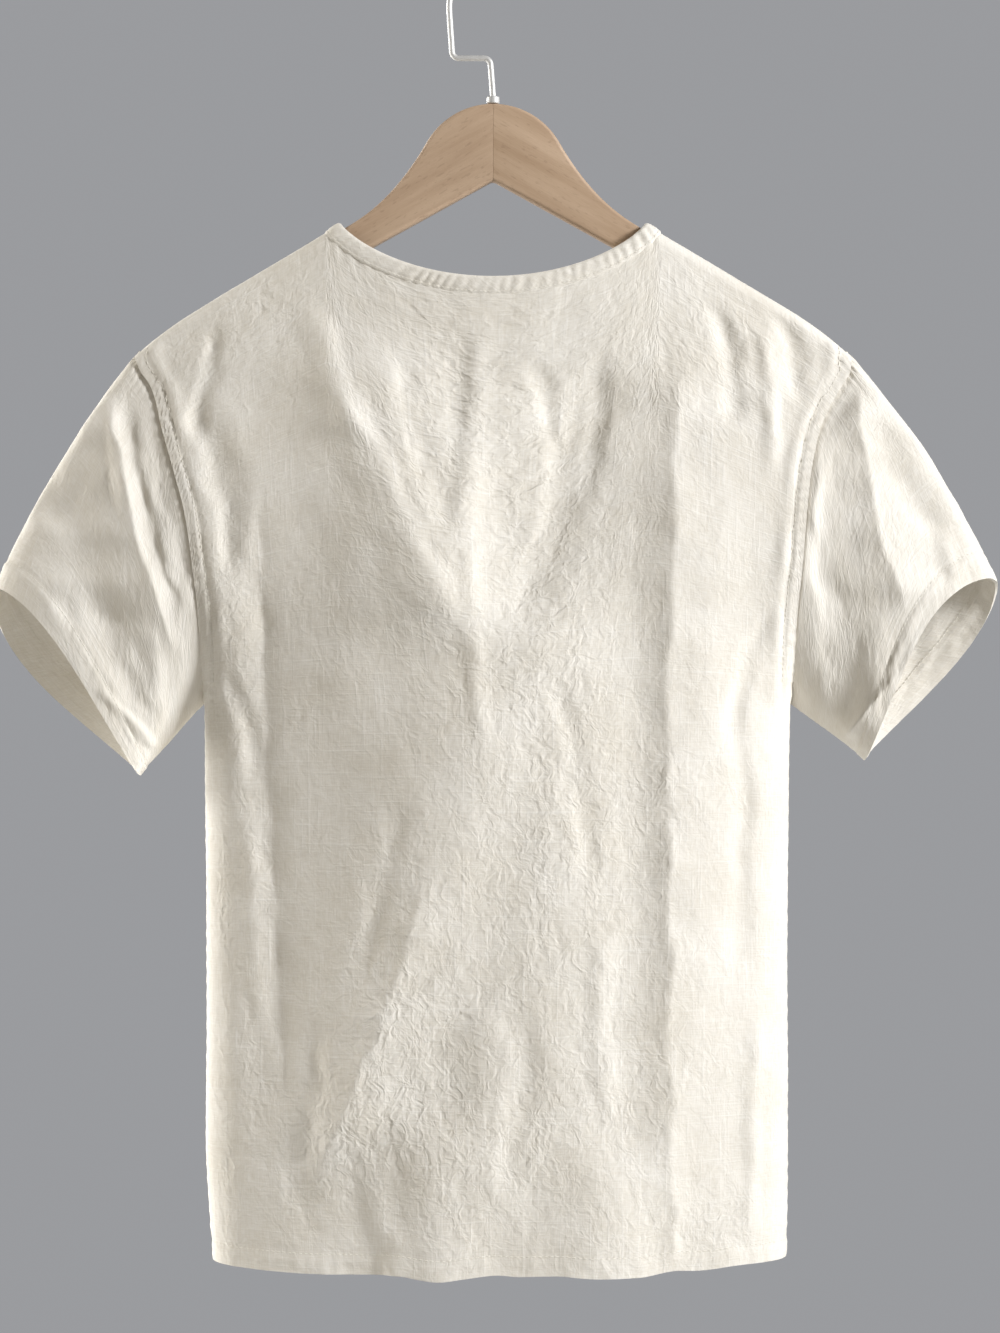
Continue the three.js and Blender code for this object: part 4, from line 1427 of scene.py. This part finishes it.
@dataclass
class Sleeve(Cloth):
    """A short set-in sleeve, open at its cuff."""

    side: int
    top: Spot
    foot: Spot
    near_in: float
    far_out: float
    back_creases: Sequence[Crease]
    front_creases: Sequence[Crease]
    reach_y: float = 31.0
    swell_power: float = 0.6
    round_power: float = 0.9
    row_crowding: float = 1.8
    crown: Spot = (6.0, 3.5)
    crown_flat: float = 0.7
    crown_sharp: float = 6.0
    hem_width: float = 20.0
    length: float = 185.0
    girth: float = 470.0
    flat_girth: Spot = (500.0, 345.0)
    tuck: float = 0.016
    inner_depth: float = 1.3
    around: int = 224
    along: int = 84

    def armhole(self, around: Array) -> Array:
        """The seam's points: 0 is at the shoulder tip and 0.5 at the underarm.

        Args:
            around: Shares of the way round.

        Returns:
            The points.
        """
        back = around <= 0.5
        down = np.where(back, around * 2, 2 - around * 2)
        z = mix(RIDGE[-1].z, UNDERARM_Z, down**self.row_crowding)
        x = self.side * self.form.reach(ARMHOLES, np.full_like(z, self.side), z)
        out = np.where(
            back, -self.form.upper_depth(Face.BACK, x, z), self.form.upper_depth(Face.FRONT, x, z)
        )
        return np.stack([x + self.side * 0.2, out, z], -1)

    def cuff(self, around: Array) -> Array:
        """The cuff edge's points, in the same shares.

        Args:
            around: Shares of the way round.

        Returns:
            The points.
        """
        angle = around * 2 * np.pi
        down, across = 0.5 * (1 - np.cos(angle)), np.sin(angle)
        chord = np.array(self.foot) - np.array(self.top)
        outward = np.array([-chord[1], chord[0]]) / np.hypot(*chord)
        swell = np.sin(np.pi * down**self.swell_power)
        push = np.where(across > 0, -self.near_in, self.far_out) * swell
        y = -np.sign(across) * self.reach_y * np.abs(across) ** self.round_power
        x = self.side * (self.top[0] + chord[0] * down + outward[0] * push)
        return np.stack([x, y, self.top[1] + chord[1] * down + outward[1] * push], -1)

    def _height(self, around: Array, along: Array, points: Array) -> Array:
        """The creases, the crumple and what the seams do.

        Args:
            around: Shares of the way round.
            along: Shares of the way to the cuff.
            points: The sleeve's points.

        Returns:
            How far each point stands out.
        """
        seed = self.crumple.seed
        length, girth = self.length, self.girth
        x, z = points[..., 0], points[..., 2]
        facing = np.sin(2 * np.pi * around)
        total = crease_height(self.back_creases, x, z, WANDER) * smooth(facing, 0.02, 0.4)
        total += crease_height(self.front_creases, x, z, WANDER) * smooth(-facing, 0.02, 0.4)
        to_arm, to_cuff = along * length, (1 - along) * length
        calm = smooth(to_arm, 0, 22)
        total = total * calm
        total += self.crumple.height(around * girth, along * length) * mix(0.3, 1, calm)
        patchy = 0.5 + smooth(noise(around * 22, along * 9, seed + 50), -0.4, 0.5)
        # At the armhole: the ease, which is gathered most at the crown.
        ease = hill(np.minimum(around, 1 - around), 0.16)
        pucker = wave(around * girth / 9.5 + 1.2 * noise(around * 15, along * 4, seed + 51))
        total += (0.1 + 0.3 * ease) * patchy * pucker * hill(to_arm, 9)
        # At the cuff: the hem's second layer, the groove, and the roping of the turned cloth.
        total += 0.5 * (1 - smooth(to_cuff, self.hem_width - 0.6, self.hem_width + 1.6))
        total -= 0.7 * hill(to_cuff - self.hem_width, 1.5) * patchy
        rope = 2 * np.pi * (around * girth / 10.5 + 1.5 * noise(around * 12, along * 5, seed + 52))
        hemmed = hill(to_cuff - 13, 10)
        total += hemmed * 0.1 * patchy * np.sin(rope + to_cuff / 6)
        total += hemmed * 0.9 * noise(around * girth / 19, to_cuff / 9, seed + 53)
        # The seam under the arm.
        total -= 0.6 * hill(np.abs(around - 0.5) * girth, 1.8) * calm
        return total

    def surface(self) -> tuple[Array, Array, Array]:
        """The outside of the sleeve.

        Returns:
            The points, their shares round it and their shares along it.
        """
        around = np.linspace(0, 1, self.around + 1)
        if self.side < 0:
            around = around[::-1].copy()
        along = np.linspace(-self.tuck, 1, self.along + 1)[:, None]
        plain = mix(self.armhole(around), self.cuff(around), along[..., None])
        level = np.abs(np.sin(np.pi * np.clip(along, 0, 1))) ** self.crown_flat
        crown = level * np.abs(np.cos(np.pi * around)) ** self.crown_sharp
        plain[..., 0] += self.side * self.crown[0] * crown
        plain[..., 2] += self.crown[1] * crown
        normals = grid_normals(plain, True)
        height = self._height(around[None], along, plain)
        level = smooth(np.abs(np.sin(2 * np.pi * around)), 0.0, 0.35)
        height = height - mix(0.3, 1.5, level) * (1 - smooth(along, 0.0, 0.035))
        points = plain + normals * height[..., None]
        points[:, -1] = points[:, 0]
        return points, around, along

    def build(self) -> Sewn:
        """Makes the sleeve and the stitches over its hem.

        Returns:
            The cloth, and the stitches on it.
        """
        points, around, along = self.surface()
        up = along * self.length
        across = around[None] * mix(*self.flat_girth, along)
        flat = (across, up)
        hem = np.broadcast_to(self.length - up < self.hem_width, points.shape[:2]).copy()
        rumple = self.crumple.strength(around[None] * self.girth, up)
        cloth = cloth_piece(
            self.name, points, flat, thin=0.9, thick=1.8, hem=hem, rumple=rumple, closed=True
        )
        normals = grid_normals(points, True)
        row = int(np.argmin(np.abs(self.length - up[:, 0] - self.hem_width)))
        line, out = points[row], normals[row]
        return cloth, [
            lay_stitches(f"{self.name}_stitches", line, out),
            lay_stitches(f"{self.name}_inner_stitches", line - out * self.inner_depth, -out),
        ]


@dataclass
class Blouse:
    """All the sewn cloth."""

    form: Form = field(default_factory=Form)
    linen: Linen = field(default_factory=Linen)
    thread: SewingThread = field(default_factory=SewingThread)

    def parts(self) -> list[Cloth]:
        """Every sewn piece, with how its cut is stated.

        Returns:
            The pieces.
        """
        form = self.form
        sleeve_cut = {"flat": (0.45, 0.19), "area": 0.057}
        return [
            Panel(
                "back_cloth", "back_panel", {"flat": (0.5, 0.72), "area": 0.29}, form,
                Crumple(11, BACK_RUMPLES), Face.BACK, BACK_CREASES,
            ),
            Panel(
                "front_cloth", "front_panel", {"flat": (0.5, 0.72), "area": 0.28}, form,
                Crumple(211, FRONT_RUMPLES), Face.FRONT, FRONT_CREASES,
            ),
            Sleeve(
                "left_sleeve_cloth", "left_sleeve", sleeve_cut, form, Crumple(411), -1,
                (340.5, -424), (241, -551), 13.5, 20, LEFT_BACK_CREASES, LEFT_FRONT_CREASES,
            ),
            Sleeve(
                "right_sleeve_cloth", "right_sleeve", sleeve_cut, form, Crumple(611), 1,
                (344.5, -419), (254, -540.5), 24, 14.5, RIGHT_BACK_CREASES, RIGHT_FRONT_CREASES,
            ),
            NeckBand("neck_band_cloth", "neck_band", {"flat": (0.62, 0.0127)}, form, Crumple(811)),
        ]

    def build(self) -> None:
        """Makes every piece of cloth and dresses it."""
        linen, thread = self.linen.material(), self.thread.material()
        for part in self.parts():
            cloth, stitches = part.build()
            dress(cloth, linen)
            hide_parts(part.node)
            for row in stitches:
                dress(row, thread)
            log.info("%s: %d faces", cloth.name, len(cloth.data.polygons))


# The hanger


def curve(points: Sequence[Spot], steps: int) -> list[Spot]:
    """Points along a Bezier curve, without its first.

    Args:
        points: The points that the curve is drawn by.
        steps: How many points it gets.

    Returns:
        The points.
    """
    line = []
    for t in np.linspace(0, 1, steps + 1)[1:]:
        row = np.array(points, float)
        while len(row) > 1:
            row = mix(row[:-1], row[1:], t)
        line.append(tuple(row[0]))
    return line


@dataclass
class WireBender:
    """Bends a wire as a maker would: straight stretches and round bends, one after another."""

    radius: float
    at: Vector
    heading: float = 90.0
    sides: int = 20

    def start(self, name: str) -> Piece:
        """Cuts the wire's first end, a flat disc that looks down.

        Args:
            name: The piece's name.

        Returns:
            The new piece.
        """
        deselect()
        bpy.ops.mesh.primitive_circle_add(
            vertices=self.sides, radius=self.radius * MM, fill_type="NGON", location=self.at * MM
        )
        return settle(name)

    def straight(self, length: float) -> None:
        """Carries the wire on by a length in millimetres.

        Args:
            length: The length.
        """
        turn = math.radians(self.heading)
        step = Vector((math.cos(turn), 0, math.sin(turn))) * length
        bpy.ops.mesh.extrude_region_move(TRANSFORM_OT_translate={"value": step * MM})
        self.at = self.at + step

    def bend(self, radius: float, angle: float, steps: int) -> None:
        """Bends the wire.

        Args:
            radius: The bend's radius in millimetres.
            angle: How far it turns, in degrees, and to the left if it is over 0.
            steps: How many steps it takes.
        """
        side = 1 if angle > 0 else -1
        turn = math.radians(self.heading + 90 * side)
        centre = self.at + Vector((math.cos(turn), 0, math.sin(turn))) * radius
        bpy.ops.mesh.spin(
            steps=steps, angle=math.radians(angle), center=centre * MM, axis=(0, 1, 0)
        )
        away = self.at - centre
        a = math.radians(angle)
        self.at = centre + Vector(
            (away.x * math.cos(a) - away.z * math.sin(a), 0,
             away.x * math.sin(a) + away.z * math.cos(a))
        )
        self.heading += angle


@dataclass
class Hanger:
    """The flat wooden hanger with its wire hook and collar."""

    top_z: float = -92.3
    notch_z: float = -144.8
    half_length: float = 222.0
    thickness: float = 11.0
    head_radius: float = 52.0
    head_turn: float = 30.0
    arm_start: Spot = (96.0, -174.164)
    arm_slope: float = 0.613
    notch_slope: float = 0.553
    end_round: float = 7.0
    wood_round: float = 2.3
    wire: float = 2.0
    wire_depth: float = 12.0
    collar_radius: float = 4.4
    collar_height: float = 5.0
    collar_lift: float = 2.8
    collar_round: float = 0.9

    def _half_outline(self) -> list[Spot]:
        """The right half of the board, from the apex round to the notch.

        Returns:
            The outline's points, in millimetres.
        """
        head_z = self.top_z - self.head_radius
        turns = np.radians(np.linspace(90, self.head_turn, 22))
        outline = [
            (self.head_radius * math.cos(t), head_z + self.head_radius * math.sin(t)) for t in turns
        ]
        head, arm = outline[-1], self.arm_start
        outline += curve(
            (head, (head[0] + 13, head[1] - 22.5), (arm[0] - 22, arm[1] + 13.5), arm), 14
        )
        arm_z = lambda x: arm[1] - self.arm_slope * (x - arm[0])
        under_z = lambda x: self.notch_z - self.notch_slope * x
        end, near = self.half_length, self.half_length - self.end_round
        middle = (under_z(end) + arm_z(end)) / 2
        outline += [(x, arm_z(x)) for x in np.linspace(arm[0], near, 12)[1:]]
        outline += curve(((near, arm_z(near)), (end, arm_z(end)), (end, middle)), 5)
        outline += curve(((end, middle), (end, under_z(end)), (near, under_z(near))), 5)
        outline += [(x, under_z(x)) for x in np.linspace(near, 0, 12)[1:]]
        return outline

    def wood(self) -> Piece:
        """Cuts the board from its outline and rounds its edges.

        Returns:
            The board.
        """
        half = self._half_outline()
        outline = half + [(-x, z) for x, z in reversed(half[1:-1])]
        deselect()
        bpy.ops.mesh.primitive_circle_add(
            vertices=len(outline), radius=0.1, fill_type="NGON", rotation=(math.pi / 2, 0, 0)
        )
        piece = settle("hanger_board")
        for vertex, (x, z) in zip(piece.data.vertices, outline):
            vertex.co = Vector((x, -self.thickness / 2, z)) * MM
        piece.data.update()
        with editing(piece):
            bpy.ops.mesh.extrude_region_move(
                TRANSFORM_OT_translate={"value": (0, self.thickness * MM, 0)}
            )
            bpy.ops.mesh.select_all(action="SELECT")
            bpy.ops.mesh.normals_make_consistent(inside=False)
        round_edges(piece, self.wood_round)
        return piece

    def hook(self) -> Piece:
        """Bends the hook from one wire.

        Returns:
            The hook.
        """
        bender = WireBender(self.wire, Vector((0, 0, self.top_z - self.wire_depth)))
        piece = bender.start("hook_wire")
        with editing(piece):
            for row in HOOK_BENDS:
                bender.straight(row.length)
                bender.bend(row.radius, row.angle, row.steps)
            bpy.ops.mesh.select_all(action="SELECT")
            bpy.ops.mesh.remove_doubles(threshold=0.01 * MM)
            bpy.ops.mesh.normals_make_consistent(inside=False)
        log.info("the wire ends at %s, heading %.1f", tuple(bender.at), bender.heading)
        shade(piece, 50)
        return piece

    def collar(self) -> Piece:
        """Turns the small collar at the hook's foot.

        Returns:
            The collar.
        """
        deselect()
        bpy.ops.mesh.primitive_cylinder_add(
            vertices=48, radius=self.collar_radius * MM, depth=self.collar_height * MM,
            location=(0, 0, (self.top_z + self.collar_lift) * MM),
        )
        piece = settle("collar_ring")
        round_edges(piece, self.collar_round)
        return piece

    def build(self) -> None:
        """Makes the wood, the hook and the collar, and dresses them."""
        beech, chrome = Beech().material(), Chrome().material()
        for piece, node, slot, material in (
            (self.wood(), "hanger_wood", "beech", beech),
            (self.hook(), "hanger_hook", "chrome_wire", chrome),
            (self.collar(), "hook_collar", "chrome_wire", chrome),
        ):
            dress(piece, material)
            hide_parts(node)
            log.info("%s: %d faces", piece.name, len(piece.data.polygons))


# The studio


@dataclass
class Studio:
    """The camera, the lights, the pale floor and the plain grey behind it all."""

    centre: tuple[float, float, float] = (0.0048, -0.05, -0.4766)
    distance: float = 2.1
    pixel: float = 0.668
    sensor: float = 36.0
    aim: tuple[float, float, float] = (0, 0, -0.5)
    floor_z: float = -1.35
    floor_radius: float = 1.45
    backdrop: Colour = (0.325, 0.33, 0.345, 1)
    surround: Colour = (0.16, 0.147, 0.125, 1)

    def camera(self) -> None:
        """Places the camera at the photo's viewing angle."""
        data = bpy.data.cameras.new("camera")
        data.sensor_width = self.sensor
        data.sensor_fit = "AUTO"
        data.lens = self.sensor * self.distance / (IMAGE_SIZE[1] * self.pixel * MM)
        data.clip_end = 50
        holder = add_object("camera", data)
        x, y, z = self.centre
        holder.location = (x, y - self.distance, z)
        holder.rotation_euler = (math.pi / 2, 0, 0)
        bpy.context.scene.camera = holder

    def light(
        self,
        name: str,
        place: tuple[float, float, float],
        size: float,
        power: float,
        colour: tuple[float, float, float] = (1, 1, 1),
    ) -> None:
        """Adds a soft square light that looks at the blouse.

        Args:
            name: Its name.
            place: Where it stands, in metres.
            size: Its side, in metres.
            power: Its power in watts.
            colour: Its colour.
        """
        data = bpy.data.lights.new(name, "AREA")
        data.shape, data.size, data.energy, data.color = "SQUARE", size, power, colour
        holder = add_object(name, data)
        holder.location = place
        aim = Vector(self.aim) - Vector(place)
        holder.rotation_euler = aim.to_track_quat("-Z", "Y").to_euler()

    def floor(self) -> None:
        """Lays a round pale floor, below what the camera sees."""
        deselect()
        bpy.ops.mesh.primitive_circle_add(
            vertices=96, radius=self.floor_radius, fill_type="NGON", location=(0, 0, self.floor_z)
        )
        piece = settle("studio_floor")
        tree = NodeTree(bpy.data.materials.new("pale_floor"))
        place = tree.place()
        tone = tree.grain(place, 3, 2)
        colour = tree.blend(tone, (0.6, 0.6, 0.59, 1), (0.66, 0.66, 0.65, 1))
        piece.data.materials.append(tree.close({"Base Color": colour, "Roughness": 0.9}, None))

    def world(self) -> None:
        """Fills the room: the eye and reflections see the backdrop, and the cloth a dimmer grey."""
        tree = NodeTree(bpy.data.worlds.new("studio"))
        seen = tree.node("ShaderNodeBackground", {}, {"Color": self.backdrop})
        dim = tree.node("ShaderNodeBackground", {}, {"Color": self.surround})
        camera = tree.node("ShaderNodeLightPath", {}, {}, "Is Camera Ray")
        glossy = Value(tree, camera.socket.node.outputs["Is Glossy Ray"])
        either = tree.node("ShaderNodeMath", {"operation": "MAXIMUM"}, {0: camera, 1: glossy})
        both = tree.node("ShaderNodeMixShader", {}, {0: either, 1: dim, 2: seen})
        bpy.context.scene.world = tree.end("ShaderNodeOutputWorld", both)

    def build(self) -> None:
        """Sets up the whole studio."""
        self.camera()
        self.floor()
        self.light("key", (3.3, -1.62, 0.9), 1.0, 202, (0.965, 0.975, 1.0))
        self.light("fill", (-0.9, -2.4, -1.3), 2.0, 7, (1.0, 0.92, 0.80))
        self.light("rim", (-2.5, 0.2, 0.6), 1.0, 52, (1.0, 0.98, 0.95))
        self.light("edge", (-2.2, 0.75, -1.2), 0.9, 36, (1.0, 0.99, 0.97))
        self.light("front", (-1.9, 2.5, 0.5), 1.4, 52, (0.98, 0.99, 1.0))
        self.world()
        bpy.context.scene.view_settings.view_transform = "Standard"


def main() -> None:
    """Builds the studio, the hanger and the blouse."""
    logging.basicConfig(level=logging.INFO, format="%(name)s: %(message)s")
    Studio().build()
    Hanger().build()
    Blouse().build()


if __name__ == "__main__":
    main()
